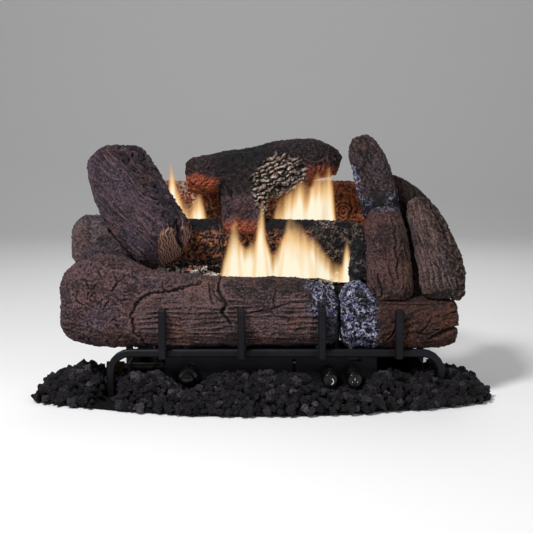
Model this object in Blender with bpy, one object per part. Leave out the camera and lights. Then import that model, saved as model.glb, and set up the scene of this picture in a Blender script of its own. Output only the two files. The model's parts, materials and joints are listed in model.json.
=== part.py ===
"""Vent-free gas log set: cast logs on a steel grate over a twin burner, its controls and a lava rock bed.

Metres, +Z up, the front towards -Y. The origin lies on the hearth, under the burner base.
"""

import math

import bmesh
import bpy
from mathutils import Vector

# Clearances and stock
GAP = 0.0003  # left between two pieces that touch
CUT_PAST = 0.020  # how far a trimming block or cutter reaches past what it cuts
SHEET = 0.0015  # folded steel sheet
X_AXIS = Vector((1, 0, 0))
Y_AXIS = Vector((0, 1, 0))
Z_AXIS = Vector((0, 0, 1))
TO_VIEWER = Vector((0, -1, 0))

# Grate: two bent rails that stand on their own legs, with bars and fingers welded to them
BAR = 0.013  # square bar
BAR_CHAMFER = 0.002
GRATE_TOP = 0.087
RAIL_FRONT_Y = -0.085
RAIL_REAR_Y = 0.150
LEG_LEFT_X = -0.258
LEG_RIGHT_X = 0.305
LEG_BEND = 0.033
BEND_STEPS = 5
FINGER_RISE = 0.071
FINGER_X = (-0.168, -0.035, 0.101, 0.231)

# Base pan, control panel and its cut-outs
PAN_SIDE_GAP = 0.021
PAN_FRONT_Y = -0.068
PAN_REAR_GAP = 0.020
PAN_WALL = 0.058
PAN_FRONT_WALL = 0.026
PANEL_LEFT_X = -0.166
PANEL_RIGHT_X = 0.197
PANEL_HEADROOM = 0.0012  # below the grate bars
PANEL_RETURN = 0.016
PANEL_FOOT = 0.002
SIGHT_SLOT_X = 0.055
SIGHT_SLOT = (0.006, 0.034)
SIGHT_SLOT_Z = 0.049
VENT_SLOT_X = 0.159
VENT_SLOT = (0.024, 0.006)
VENT_SLOT_Z = 0.0652

# Controls
CONTROL_Z = 0.044
GAS_KNOB_X = 0.113
FLAME_KNOB_X = 0.154
IGNITER_X = -0.124
KNOB_R = 0.0135
KNOB_LENGTH = 0.058
KNOB_TAPER = 0.0012
KNOB_EDGE = 0.0025
KNOB_SOCKET = 0.020
KNOB_RIB = (0.0024, 0.0016)
PUSH_TRAVEL = 0.004
PUSH_ROOM = 0.0025  # left behind a knob that is pushed right in
STEM_R = 0.004
STEM_HOLE_ROOM = 0.002
STEM_BITE = 0.012
IGNITER_R = 0.0155
IGNITER_WALL = 0.004
IGNITER_REACH = 0.046
IGNITER_TAIL = 0.022
IGNITER_EDGE = 0.002
BUTTON_STANDS = 0.016
BUTTON_TRAVEL = 0.006
BUTTON_SEAT = 0.014
BUTTON_ROOM = 0.0004
BUTTON_DOME = 0.004

# Gas train in the pan
VALVE_FRONT_GAP = 0.010
VALVE_DEPTH = 0.052
VALVE_HEIGHT = 0.050
VALVE_SIDE = 0.026
REGULATOR_R = 0.024
REGULATOR_HEIGHT = 0.030
REGULATOR_X = -0.020
NIPPLE_R = 0.008
SUPPLY_R = 0.0065
FITTING_R = 0.0105
FITTING_LENGTH = 0.030
FITTING_BORE = 0.018
GAS_TUBE_R = 0.004
PILOT_TUBE_R = 0.0022
LEAD_R = 0.0017
INJECTOR_R = 0.007
INJECTOR_LENGTH = 0.014
VALVE_BORE_ROOM = 0.0006
BRACKET_INSET = 0.008
BRACKET_FOOT = 0.012
PIPE_OUTSIDE = 0.012
PLUNGER_LENGTH = 0.008
PLUNGER_R = 0.0032

# Pilot group on its bracket, beside the left end of the front burner
PILOT_BAR_GAP = 0.0035
PILOT_SHELF = 0.020
PILOT_SHELF_Z = 0.148
PILOT_SPACING = 0.014
PILOT_BELOW = 0.018
PILOT_BURNER = (0.005, 0.034)
THERMOCOUPLE = (0.003, 0.030)
ELECTRODE = (0.0026, 0.028)
LEAD_ABOVE_FLOOR = 0.006
LEAD_UNDER_BAR = 0.008

# Burners, their stands and the shelves that carry the inner logs
BURNER_R = 0.016
BURNER_WALL = 0.0014
BURNER_LEFT_X = -0.156
BURNER_RIGHT_X = 0.206
BURNER_BELOW_STEP = 0.033  # burner's axis below the shelf behind it
LOG_TO_STAND = 0.003
PORT_COUNT = 12
PORT = (0.010, 0.0026)
MIXER_R = 0.010
MIXER_BORE = 0.0075
PORT_INSET = 0.025
FRONT_MIXER_X = 0.135
REAR_MIXER_X = 0.165
MIXER_DROP = 0.034
STAND_LEFT_X = -0.140
STAND_RIGHT_X = 0.190
STAND_RIM = 0.0042  # metal left round a burner's hole
STAND_FOOT = 0.016
MIDDLE_STEP_Z = 0.2030
REAR_STEP_Z = 0.2590
STEP_MARGIN = 0.002
REAR_ARM = 0.052
STAND_BACK_GAP = 0.010
GUSSET = 0.045
SHELF_LIP = 0.008
SHELF_OVERHANG = 0.012

# Logs
LOG_SIDES = 14
RING_PITCH = 0.030
SQUARENESS = 2.5
LUMP = 0.035
BARK_SIDES = 20
BARK_PITCH = 0.015
BARK_RELIEF = 0.0016
END_ROUND = 0.010
END_SCALE = 0.80
SEAT_BITE = 0.003  # how far a log's rough form would reach past its flat seat
END_TRIM = 0.001  # how far a log's rough end may reach past its named end, beside its neighbour
FRONT_LOG_DEPTH = 0.088
FRONT_LOG_HEIGHT = 0.121
FRONT_LOG_BUTT = 0.155
FRONT_LOG_LEFT_X = -0.343
FRONT_LOG_RIGHT_X = 0.131
CORNER_LOG_LEFT_X = 0.134
CORNER_LOG_RIGHT_X = 0.334
CORNER_LOG_HEIGHT = 0.085
CORNER_LOG_STUB = 0.112
MIDDLE_LOG_DEPTH = 0.052
MIDDLE_LOG_HEIGHT = 0.090
MIDDLE_LOG_LEFT_X = -0.341
MIDDLE_LOG_RIGHT_X = 0.186
MIDDLE_LOG_BUTT = 0.034  # how far its left end reaches further forward
REAR_LOG_DEPTH = 0.072
REAR_LOG_HEIGHT = 0.098
REAR_LOG_LEFT_X = -0.214
REAR_LOG_RIGHT_X = 0.198
DIAGONAL_X = -0.266
BRANCH_LEFT_X = -0.137

# Embers and lava rock
EMBER_HEIGHT = 0.022
EMBER_CELL = 0.013
EMBER_RELIEF = 0.005
EMBER_LEFT_X = -0.128
EMBER_RIGHT_X = 0.128
ROCK_HALF_WIDTH = 0.385
ROCK_FRONT_Y = -0.200
ROCK_SIDE_Y = -0.110
ROCK_BACK_Y = 0.062
ROCK_CELL = 0.012
ROCK_HEIGHT = 0.040
ROCK_LOW = 0.022  # under the controls and the inlet
ROCK_LOW_REACH = 0.045
ROCK_BARE = 0.008  # before the left leg, which shows down to the hearth
ROCK_BARE_REACH = 0.022
ROCK_SLOPE = 0.060
ROCK_EDGE = 0.007
ROCK_RELIEF = 0.006
ROCK_RELIEF_SHARE = 0.45  # of the heap's height, at most
ROCK_DRAWN_IN = 0.35  # of the side beds' depth, at their outer ends
ROCK_CLEAR = 0.002

# Fasteners
SCREW_R = 0.002
SCREW_HEAD_R = 0.0042
SCREW_HEAD = 0.0024
SCREW_INSET = 0.010
SCREW_LENGTH = 0.005
SCREW_COUNT = 2
ROUND_SIDES = 20
TUBE_STEP = 6  # a tube's point spacing, in radii

# Sizes that follow from those above
BAR_HALF = BAR / 2
BARS_Z = GRATE_TOP - BAR_HALF
LOG_SEAT = GRATE_TOP + GAP
FINGER_REAR_Y = RAIL_FRONT_Y - BAR_HALF - GAP
FINGER_Y = FINGER_REAR_Y - BAR_HALF
PAN_LEFT_X = LEG_LEFT_X + BAR_HALF + PAN_SIDE_GAP
PAN_RIGHT_X = LEG_RIGHT_X - BAR_HALF - PAN_SIDE_GAP
PAN_REAR_Y = RAIL_REAR_Y - BAR_HALF - PAN_REAR_GAP
PAN_FLOOR = SHEET + GAP  # where a piece on the pan's floor stands
PANEL_TOP = GRATE_TOP - BAR - PANEL_HEADROOM
PANEL_FACE_Y = PAN_FRONT_Y - GAP - SHEET
KNOB_BACK_Y = PANEL_FACE_Y - PUSH_TRAVEL - PUSH_ROOM
VALVE_FRONT_Y = PAN_FRONT_Y + VALVE_FRONT_GAP
VALVE_REAR_Y = VALVE_FRONT_Y + VALVE_DEPTH
VALVE_LEFT_X = GAS_KNOB_X - VALVE_SIDE
VALVE_RIGHT_X = FLAME_KNOB_X + VALVE_SIDE
VALVE_MIDDLE_Y = (VALVE_FRONT_Y + VALVE_REAR_Y) / 2
VALVE_TOP = CONTROL_Z + VALVE_HEIGHT / 2
BURNER_CLEAR = BURNER_R + GAP
FRONT_LOG_FRONT_Y = FINGER_REAR_Y + GAP
FRONT_LOG_BACK_Y = FRONT_LOG_FRONT_Y + FRONT_LOG_DEPTH
STAND_FRONT_Y = FRONT_LOG_BACK_Y + LOG_TO_STAND
FRONT_BURNER_Y = STAND_FRONT_Y + STAND_RIM + BURNER_CLEAR
FRONT_BURNER_Z = MIDDLE_STEP_Z - BURNER_BELOW_STEP
STEP_FRONT_Y = FRONT_BURNER_Y + BURNER_R
MIDDLE_LOG_FRONT_Y = STEP_FRONT_Y + STEP_MARGIN
MIDDLE_LOG_BACK_Y = MIDDLE_LOG_FRONT_Y + MIDDLE_LOG_DEPTH
REAR_BURNER_Y = MIDDLE_LOG_BACK_Y + STEP_MARGIN + STAND_RIM + BURNER_CLEAR
REAR_BURNER_Z = REAR_STEP_Z - BURNER_BELOW_STEP
REAR_LOG_FRONT_Y = REAR_BURNER_Y + BURNER_R + STEP_MARGIN
REAR_LOG_BACK_Y = REAR_LOG_FRONT_Y + REAR_LOG_DEPTH
MIDDLE_SHELF_TOP = MIDDLE_STEP_Z + GAP + SHEET
REAR_SHELF_TOP = REAR_STEP_Z + GAP + SHEET
MIDDLE_SEAT = MIDDLE_SHELF_TOP + GAP
REAR_SEAT = REAR_SHELF_TOP + GAP
FRONT_TOP = LOG_SEAT + FRONT_LOG_HEIGHT
CORNER_TOP = LOG_SEAT + CORNER_LOG_HEIGHT
CORNER_STUB_TOP = LOG_SEAT + CORNER_LOG_STUB
MIDDLE_TOP = MIDDLE_SEAT + MIDDLE_LOG_HEIGHT
REAR_TOP = REAR_SEAT + REAR_LOG_HEIGHT
FRONT_BURNER_TOP = FRONT_BURNER_Z + BURNER_R
PILOT_PLATE_X = FINGER_X[0] - BAR_HALF - PILOT_BAR_GAP
PILOT_X = PILOT_PLATE_X - PILOT_SHELF / 2
ROCK_PANEL_Y = PANEL_FACE_Y - SCREW_HEAD - 2 * GAP


def clear_scene():
    for obj in list(bpy.data.objects):
        bpy.data.objects.remove(obj)


def material(name, colour, roughness, metallic=0.0):
    made = bpy.data.materials.new(name)
    made.use_nodes = True
    shader = made.node_tree.nodes["Principled BSDF"]
    shader.inputs["Base Color"].default_value = (*colour, 1.0)
    shader.inputs["Roughness"].default_value = roughness
    shader.inputs["Metallic"].default_value = metallic
    return made


def make_materials():
    return {
        "log": material("log_ceramic", (0.165, 0.105, 0.085), 0.9),
        "char": material("charred_ceramic", (0.045, 0.035, 0.035), 0.95),
        "grate": material("grate_black_steel", (0.022, 0.025, 0.032), 0.5, 0.6),
        "panel": material("panel_dark_steel", (0.050, 0.050, 0.058), 0.55, 0.5),
        "burner": material("burner_steel", (0.20, 0.19, 0.18), 0.45, 0.9),
        "brass": material("brass", (0.62, 0.44, 0.18), 0.35, 1.0),
        "alloy": material("valve_alloy", (0.48, 0.49, 0.50), 0.42, 0.9),
        "knob": material("knob_plastic", (0.012, 0.012, 0.014), 0.18),
        "ember": material("ember_wool", (0.11, 0.095, 0.09), 1.0),
        "rock": material("lava_rock", (0.060, 0.055, 0.055), 0.95),
        "wire": material("lead_sleeve", (0.55, 0.20, 0.08), 0.6),
        "white": material("electrode_ceramic", (0.80, 0.78, 0.74), 0.4),
    }


def new_object(name, bm, finish, origin=(0, 0, 0)):
    """Object from a bmesh in world coordinates, with its own origin at the given point."""
    bmesh.ops.translate(bm, verts=bm.verts, vec=-Vector(origin))
    bmesh.ops.recalc_face_normals(bm, faces=bm.faces)
    mesh = bpy.data.meshes.new(name)
    bm.to_mesh(mesh)
    bm.free()
    if finish:
        mesh.materials.append(finish)
    obj = bpy.data.objects.new(name, mesh)
    obj.location = origin
    bpy.context.scene.collection.objects.link(obj)
    return obj


def smooth(obj, angle=40):
    obj.data.shade_smooth()
    obj.data.set_sharp_from_angle(angle=math.radians(angle))
    return obj


def as_cutter(obj):
    obj.hide_render = True
    obj.display_type = "WIRE"
    return obj


def boolean(obj, other, operation="DIFFERENCE"):
    modifier = obj.modifiers.new(operation.title(), "BOOLEAN")
    modifier.operation = operation
    modifier.solver = "EXACT"
    modifier.object = as_cutter(other)
    return obj


def cut(obj, *cutters):
    for cutter in cutters:
        boolean(obj, cutter)
    return obj


def loft(bm, rings, triangles=False):
    """Skins a run of equal rings and closes each end with a fan round its middle."""
    loops = [[bm.verts.new(point) for point in ring] for ring in rings]
    for near, far in zip(loops, loops[1:]):
        for i in range(len(near)):
            j = (i + 1) % len(near)
            if triangles:
                bm.faces.new((near[i], near[j], far[j]))
                bm.faces.new((near[i], far[j], far[i]))
            else:
                bm.faces.new((near[i], near[j], far[j], far[i]))
    for loop in (loops[0], loops[-1]):
        middle = bm.verts.new(sum((v.co for v in loop), Vector()) / len(loop))
        for i in range(len(loop)):
            bm.faces.new((loop[i], loop[(i + 1) % len(loop)], middle))


def add_box(bm, low, high):
    low, high = Vector(low), Vector(high)
    made = bmesh.ops.create_cube(bm, size=1)
    bmesh.ops.scale(bm, verts=made["verts"], vec=high - low)
    bmesh.ops.translate(bm, verts=made["verts"], vec=(low + high) / 2)
    return made["verts"]


def box(name, low, high, finish=None, bevel=0.0, origin=None):
    bm = bmesh.new()
    add_box(bm, low, high)
    if bevel:
        bmesh.ops.bevel(bm, geom=bm.edges, offset=bevel, segments=1, affect="EDGES")
    middle = (Vector(low) + Vector(high)) / 2
    return new_object(name, bm, finish, middle if origin is None else origin)


def round_rings(base, axis, profile, sides=ROUND_SIDES):
    """Rings about an axis for a profile of (distance along it, radius)."""
    axis = Vector(axis).normalized()
    across = axis.orthogonal().normalized()
    other = axis.cross(across)
    rings = []
    for along, radius in profile:
        centre = Vector(base) + axis * along
        turn = [2 * math.pi * i / sides for i in range(sides)]
        rings.append([centre + (across * math.cos(a) + other * math.sin(a)) * radius for a in turn])
    return rings


def turned(name, base, axis, profile, finish=None, sides=ROUND_SIDES):
    bm = bmesh.new()
    loft(bm, round_rings(base, axis, profile, sides))
    return smooth(new_object(name, bm, finish, base))


def rod(name, base, axis, length, radius, finish=None, sides=ROUND_SIDES):
    return turned(name, base, axis, [(0, radius), (length, radius)], finish, sides)


def through(name, centre, axis, length, radius):
    """A cylinder that cuts a hole, centred on the wall."""
    axis = Vector(axis).normalized()
    return rod(name, Vector(centre) - axis * length / 2, axis, length, radius)


def sheet(name, quads, finish, offset=1):
    """Folded sheet: faces that share edges, thickened along their normals, or against them."""
    bm = bmesh.new()
    seen = {}
    for quad in quads:
        corners = []
        for point in quad:
            key = tuple(round(value, 6) for value in point)
            corners.append(seen.get(key) or seen.setdefault(key, bm.verts.new(point)))
        bm.faces.new(corners)
    mesh = bpy.data.meshes.new(name)
    bm.to_mesh(mesh)
    bm.free()
    mesh.materials.append(finish)
    obj = bpy.data.objects.new(name, mesh)
    bpy.context.scene.collection.objects.link(obj)
    wall = obj.modifiers.new("Sheet", "SOLIDIFY")
    wall.thickness = SHEET
    wall.offset = offset
    wall.use_even_offset = True
    return obj


def smooth_run(points, pitch):
    """Points about a pitch apart on a smooth curve through the given ones."""
    points = [Vector(p) for p in points]
    ends = [2 * points[0] - points[1], *points, 2 * points[-1] - points[-2]]
    run = [points[0]]
    for before, near, far, after in zip(ends, ends[1:], ends[2:], ends[3:]):
        steps = max(1, round((far - near).length / pitch))
        for i in range(1, steps + 1):
            t = i / steps
            run.append(
                near
                + (far - before) * (t * 0.5)
                + (before * 2 - near * 5 + far * 4 - after) * (t * t * 0.5)
                + (near * 3 - before - far * 3 + after) * (t * t * t * 0.5)
            )
    return run


def tube(name, points, radius, finish):
    """A bent tube or lead on a smooth route through the given points."""
    curve = bpy.data.curves.new(name, "CURVE")
    curve.dimensions = "3D"
    curve.bevel_depth = radius
    curve.bevel_resolution = 1
    curve.use_fill_caps = True
    run = smooth_run(points, radius * TUBE_STEP)
    line = curve.splines.new("POLY")
    line.points.add(len(run) - 1)
    for place, point in zip(line.points, run):
        place.co = (*point, 1.0)
    curve.materials.append(finish)
    obj = bpy.data.objects.new(name, curve)
    bpy.context.scene.collection.objects.link(obj)
    return obj


def bar_ring(centre, across, up, half=BAR_HALF, chamfer=BAR_CHAMFER):
    """Section of the square bar, with its four corners chamfered."""
    inner = half - chamfer
    corners = (
        (half, -inner), (half, inner), (inner, half), (-inner, half),
        (-half, inner), (-half, -inner), (-inner, -half), (inner, -half),
    )  # fmt: skip
    return [centre + across * a + up * b for a, b in corners]


def rail(name, y, finish):
    """A square bar bent down at both ends, which stands on the hearth as two legs."""
    rings = [bar_ring(Vector((LEG_LEFT_X, y, 0)), X_AXIS, TO_VIEWER)]
    bend_z = BARS_Z - LEG_BEND
    for side, leg_x in ((-1, LEG_LEFT_X), (1, LEG_RIGHT_X)):
        pivot = Vector((leg_x - side * LEG_BEND, y, bend_z))
        turns = [math.pi / 2 * i / BEND_STEPS for i in range(BEND_STEPS + 1)]
        for turn in turns if side < 0 else reversed(turns):
            outward = Vector((side * math.cos(turn), 0, math.sin(turn)))
            rings.append(bar_ring(pivot + outward * LEG_BEND, -outward, TO_VIEWER))
    rings.append(bar_ring(Vector((LEG_RIGHT_X, y, 0)), -X_AXIS, TO_VIEWER))
    bm = bmesh.new()
    loft(bm, rings)
    return smooth(new_object(name, bm, finish, (LEG_LEFT_X, y, 0)), 30)


def grate(finish):
    rail("front_rail", RAIL_FRONT_Y, finish)
    rail("rear_rail", RAIL_REAR_Y, finish)
    bar_start = RAIL_FRONT_Y + BAR_HALF + GAP
    bar_end = RAIL_REAR_Y - BAR_HALF - GAP
    for number, x in enumerate(FINGER_X, 1):
        bm = bmesh.new()
        ends = [Vector((x, y, BARS_Z)) for y in (bar_start, bar_end)]
        loft(bm, [bar_ring(end, X_AXIS, Z_AXIS) for end in ends])
        new_object(f"grate_bar_{number}", bm, finish, ends[0])
        bm = bmesh.new()
        foot = Vector((x, FINGER_Y, GRATE_TOP - BAR))
        tip = GRATE_TOP + FINGER_RISE
        rings = [
            bar_ring(foot, X_AXIS, Y_AXIS),
            bar_ring(Vector((x, FINGER_Y, tip - BAR_CHAMFER)), X_AXIS, Y_AXIS),
            bar_ring(Vector((x, FINGER_Y, tip)), X_AXIS, Y_AXIS, BAR_HALF - BAR_CHAMFER, BAR_CHAMFER / 2),
        ]
        loft(bm, rings)
        new_object(f"grate_finger_{number}", bm, finish, foot)


def base_pan(finish):
    """Open tray on the hearth; its front wall is low, and the control panel stands before it."""
    left, right, front, back = PAN_LEFT_X, PAN_RIGHT_X, PAN_FRONT_Y, PAN_REAR_Y
    low, high = PAN_FRONT_WALL, PAN_WALL
    quads = [
        [(left, front, 0), (right, front, 0), (right, back, 0), (left, back, 0)],
        [(left, front, 0), (left, front, low), (right, front, low), (right, front, 0)],
        [(right, front, 0), (right, front, low), (right, front, high), (right, back, high), (right, back, 0)],
        [(right, back, 0), (right, back, high), (left, back, high), (left, back, 0)],
        [(left, back, 0), (left, back, high), (left, front, high), (left, front, low), (left, front, 0)],
    ]
    pan = sheet("base_pan", quads, finish)
    wall = (PAN_LEFT_X, VALVE_MIDDLE_Y, CONTROL_Z)
    cut(pan, through("pan_gas_hole", wall, X_AXIS, SHEET * 4, SUPPLY_R + GAP))
    for number, x in enumerate(screw_places(), 1):
        place = (x, PAN_FRONT_Y, PANEL_FOOT + SCREW_INSET)
        cut(pan, through(f"pan_screw_hole_{number}", place, Y_AXIS, SHEET * 4, SCREW_R + GAP))
    return pan


def screw_places():
    """X of each screw that holds the panel to the pan's front wall."""
    left, right = PANEL_LEFT_X + SCREW_INSET, PANEL_RIGHT_X - SCREW_INSET
    return [left + (right - left) * i / (SCREW_COUNT - 1) for i in range(SCREW_COUNT)]


def control_panel(finish):
    """Front panel with a lip folded back under the grate, holes for the controls and two slots."""
    left, right, low, high = PANEL_LEFT_X, PANEL_RIGHT_X, PANEL_FOOT, PANEL_TOP - SHEET
    front = PAN_FRONT_Y - GAP
    back = front + PANEL_RETURN
    quads = [
        [(left, front, low), (right, front, low), (right, front, high), (left, front, high)],
        [(left, front, high), (right, front, high), (right, back, high), (left, back, high)],
    ]
    panel = sheet("control_panel", quads, finish)
    y = PANEL_FACE_Y + SHEET / 2
    reach = SHEET * 4
    holes = [(x, CONTROL_Z, STEM_R + STEM_HOLE_ROOM) for x in (GAS_KNOB_X, FLAME_KNOB_X)]
    holes.append((IGNITER_X, CONTROL_Z, IGNITER_R + GAP))
    holes += [(x, PANEL_FOOT + SCREW_INSET, SCREW_R + GAP) for x in screw_places()]
    for number, (x, z, radius) in enumerate(holes, 1):
        cut(panel, through(f"panel_hole_{number}", (x, y, z), Y_AXIS, reach, radius))
    slots = ((SIGHT_SLOT_X, SIGHT_SLOT_Z, SIGHT_SLOT), (VENT_SLOT_X, VENT_SLOT_Z, VENT_SLOT))
    for number, (x, z, (wide, tall)) in enumerate(slots, 1):
        near = (x - wide / 2, y - reach / 2, z - tall / 2)
        far = (x + wide / 2, y + reach / 2, z + tall / 2)
        cut(panel, box(f"panel_slot_{number}", near, far))
    return panel


def panel_screws(finish):
    for number, x in enumerate(screw_places(), 1):
        base = Vector((x, PANEL_FACE_Y - GAP, PANEL_FOOT + SCREW_INSET))
        profile = [
            (SCREW_LENGTH, SCREW_R),
            (0, SCREW_R),
            (0, SCREW_HEAD_R),
            (-SCREW_HEAD * 0.6, SCREW_HEAD_R * 0.9),
            (-SCREW_HEAD, SCREW_HEAD_R * 0.5),
        ]
        turned(f"panel_screw_{number}", base, Y_AXIS, profile, finish, 10)


def control_knob(name, x, y, finish):
    """A long tapered knob with a grip bar across its face, and the stem's socket behind."""
    base = Vector((x, y, CONTROL_Z))
    profile = [
        (KNOB_SOCKET, STEM_R + GAP),
        (0, STEM_R + GAP),
        (0, KNOB_R),
        (KNOB_LENGTH - KNOB_EDGE, KNOB_R - KNOB_TAPER),
        (KNOB_LENGTH, KNOB_R - KNOB_TAPER - KNOB_EDGE),
    ]
    knob = turned(name, base, TO_VIEWER, profile, finish, 24)
    half, rise = KNOB_RIB
    front = y - KNOB_LENGTH
    low = (x - half, front - rise, CONTROL_Z - KNOB_R * 0.82)
    high = (x + half, front + rise, CONTROL_Z + KNOB_R * 0.82)
    return boolean(knob, box(f"{name}_rib", low, high, bevel=rise * 0.4), "UNION")


def controls(finish):
    """Valve with its two stems and knobs, and the push igniter."""
    bore = [STEM_R + VALVE_BORE_ROOM / 2, STEM_BITE + PLUNGER_LENGTH + PUSH_TRAVEL + 4 * GAP]
    low = (VALVE_LEFT_X, VALVE_FRONT_Y, CONTROL_Z - VALVE_HEIGHT / 2)
    valve = box("gas_valve", low, (VALVE_RIGHT_X, VALVE_REAR_Y, VALVE_TOP), finish["alloy"], bevel=0.003)
    for name, x in (("gas", GAS_KNOB_X), ("flame", FLAME_KNOB_X)):
        mouth = Vector((x, VALVE_FRONT_Y - GAP, CONTROL_Z))
        cut(valve, rod(f"{name}_bore", mouth, Y_AXIS, bore[1] + GAP, bore[0]))
        tip_y = VALVE_FRONT_Y + STEM_BITE
        socket_y = KNOB_BACK_Y - KNOB_SOCKET + GAP
        rod(f"{name}_stem", (x, tip_y, CONTROL_Z), TO_VIEWER, tip_y - socket_y, STEM_R, finish["brass"])
        knob = "gas_control_knob" if name == "gas" else "flame_height_knob"
        control_knob(knob, x, KNOB_BACK_Y, finish["knob"])
    start = (GAS_KNOB_X, VALVE_FRONT_Y + STEM_BITE + GAP, CONTROL_Z)
    rod("valve_plunger", start, Y_AXIS, PLUNGER_LENGTH, PLUNGER_R, finish["brass"], 12)
    valve_bracket(finish["panel"])
    igniter(finish)


def valve_bracket(finish):
    """Bridge of folded sheet from the pan's floor up to the valve."""
    top = CONTROL_Z - VALVE_HEIGHT / 2 - GAP - SHEET
    front, back = VALVE_FRONT_Y + BRACKET_INSET, VALVE_REAR_Y - BRACKET_INSET
    low = PAN_FLOOR
    left, right = VALVE_LEFT_X + BRACKET_INSET, VALVE_RIGHT_X - BRACKET_INSET
    folds = [(left - BRACKET_FOOT, low), (left, low), (left, top)]
    folds += [(right, top), (right, low), (right + BRACKET_FOOT, low)]
    quads = [
        [(x0, front, z0), (x1, front, z1), (x1, back, z1), (x0, back, z0)]
        for (x0, z0), (x1, z1) in zip(folds, folds[1:])
    ]
    sheet("valve_bracket", quads, finish)


def igniter(finish):
    bore = IGNITER_R - IGNITER_WALL
    front = PANEL_FACE_Y - IGNITER_REACH
    body_length = IGNITER_REACH + IGNITER_TAIL
    floor = BUTTON_SEAT + BUTTON_TRAVEL + 2 * GAP
    base = Vector((IGNITER_X, front, CONTROL_Z))
    neck = body_length - IGNITER_TAIL * 0.4
    profile = [
        (floor, bore), (0, bore), (0, IGNITER_R - IGNITER_EDGE / 2), (IGNITER_EDGE, IGNITER_R),
        (neck, IGNITER_R), (neck, IGNITER_R * 0.6), (body_length, IGNITER_R * 0.6),
    ]  # fmt: skip
    turned("igniter_body", base, Y_AXIS, profile, finish["knob"], 20)
    slide = bore - BUTTON_ROOM
    seat = base + Y_AXIS * BUTTON_SEAT
    length = BUTTON_SEAT + BUTTON_STANDS
    profile = [(0, slide), (length - BUTTON_DOME, slide)]
    profile += [(length - BUTTON_DOME / 4, slide * 0.86), (length, slide * 0.6)]
    turned("igniter_button", seat, TO_VIEWER, profile, finish["knob"], 20)


def gas_train(finish):
    """Supply pipe and regulator in line with the valve, then the tubes up to the burners."""
    y, z = VALVE_MIDDLE_Y, CONTROL_Z
    pipe_start = PAN_LEFT_X - PIPE_OUTSIDE
    regulator_left = REGULATOR_X - REGULATOR_R
    pipe_length = regulator_left - GAP - pipe_start
    rod("supply_pipe", (pipe_start, y, z), X_AXIS, pipe_length, SUPPLY_R, finish["alloy"], 16)
    profile = [(0, FITTING_R), (FITTING_LENGTH, FITTING_R), (FITTING_LENGTH, SUPPLY_R)]
    profile.append((FITTING_LENGTH - FITTING_BORE, SUPPLY_R))
    turned("inlet_fitting", (pipe_start - GAP, y, z), -X_AXIS, profile, finish["brass"], 6)
    half = REGULATOR_HEIGHT / 2
    profile = [
        (0, REGULATOR_R * 0.7), (half * 0.5, REGULATOR_R * 0.7), (half * 0.7, REGULATOR_R),
        (half * 1.3, REGULATOR_R), (half * 1.5, REGULATOR_R * 0.7), (half * 2, REGULATOR_R * 0.45),
    ]  # fmt: skip
    regulator = turned("regulator", (REGULATOR_X, y, z - half), Z_AXIS, profile, finish["alloy"], 24)
    nipple_length = VALVE_LEFT_X - GAP - regulator_left
    nipple = rod("regulator_nipple", (regulator_left, y, z), X_AXIS, nipple_length, NIPPLE_R, sides=12)
    boolean(regulator, nipple, "UNION")
    outlets = (
        ("front", FRONT_MIXER_X, FRONT_BURNER_Y, FRONT_BURNER_Z, CONTROL_Z + 0.010),
        ("rear", REAR_MIXER_X, REAR_BURNER_Y, REAR_BURNER_Z, CONTROL_Z - 0.006),
    )
    for name, x, burner_y, burner_z, outlet_z in outlets:
        mixer_top = burner_z - BURNER_R - GAP
        mixer_foot = mixer_top - MIXER_DROP
        profile = [(MIXER_DROP * 0.3, MIXER_BORE), (0, MIXER_BORE), (0, MIXER_R), (MIXER_DROP, MIXER_R)]
        profile += [(MIXER_DROP, MIXER_BORE), (MIXER_DROP * 0.7, MIXER_BORE)]
        turned(f"{name}_mixer", (x, burner_y, mixer_foot), Z_AXIS, profile, finish["burner"], 16)
        foot = mixer_foot - GAP - INJECTOR_LENGTH
        rod(f"{name}_injector", (x, burner_y, foot), Z_AXIS, INJECTOR_LENGTH, INJECTOR_R, finish["brass"], 6)
        start = Vector((x, VALVE_REAR_Y + GAP, outlet_z))
        end = Vector((x, burner_y, foot - GAP))
        rise = (end.z - start.z) * 0.3
        bend = start + Y_AXIS * (burner_y - start.y) * 0.45
        route = [start, bend, (x, burner_y - 0.006, start.z + rise * 0.5)]
        route += [(x, burner_y, start.z + rise), end - Z_AXIS * rise * 0.6, end]
        tube(f"{name}_gas_tube", route, GAS_TUBE_R, finish["alloy"])


def burner(name, y, z, finish):
    """Closed tube with slotted ports along its top and an opening below for its mixer."""
    length = BURNER_RIGHT_X - BURNER_LEFT_X
    made = rod(name, (BURNER_LEFT_X, y, z), X_AXIS, length, BURNER_R, finish, 24)
    inner = (BURNER_LEFT_X + BURNER_WALL, y, z)
    bore = BURNER_R - BURNER_WALL
    cut(made, rod(f"{name}_inside", inner, X_AXIS, length - 2 * BURNER_WALL, bore, sides=24))
    ports = bmesh.new()
    long, wide = PORT
    first, last = STAND_LEFT_X + PORT_INSET, STAND_RIGHT_X - PORT_INSET
    for i in range(PORT_COUNT):
        x = first + (last - first) * i / (PORT_COUNT - 1)
        low = (x - long / 2, y - wide / 2, z + BURNER_R / 2)
        add_box(ports, low, (x + long / 2, y + wide / 2, z + BURNER_R * 1.5))
    cut(made, new_object(f"{name}_ports", ports, None))
    mixer_x = FRONT_MIXER_X if name == "front_burner" else REAR_MIXER_X
    cut(made, through(f"{name}_mixer_hole", (mixer_x, y, z - BURNER_R), Z_AXIS, BURNER_R, MIXER_BORE))


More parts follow.
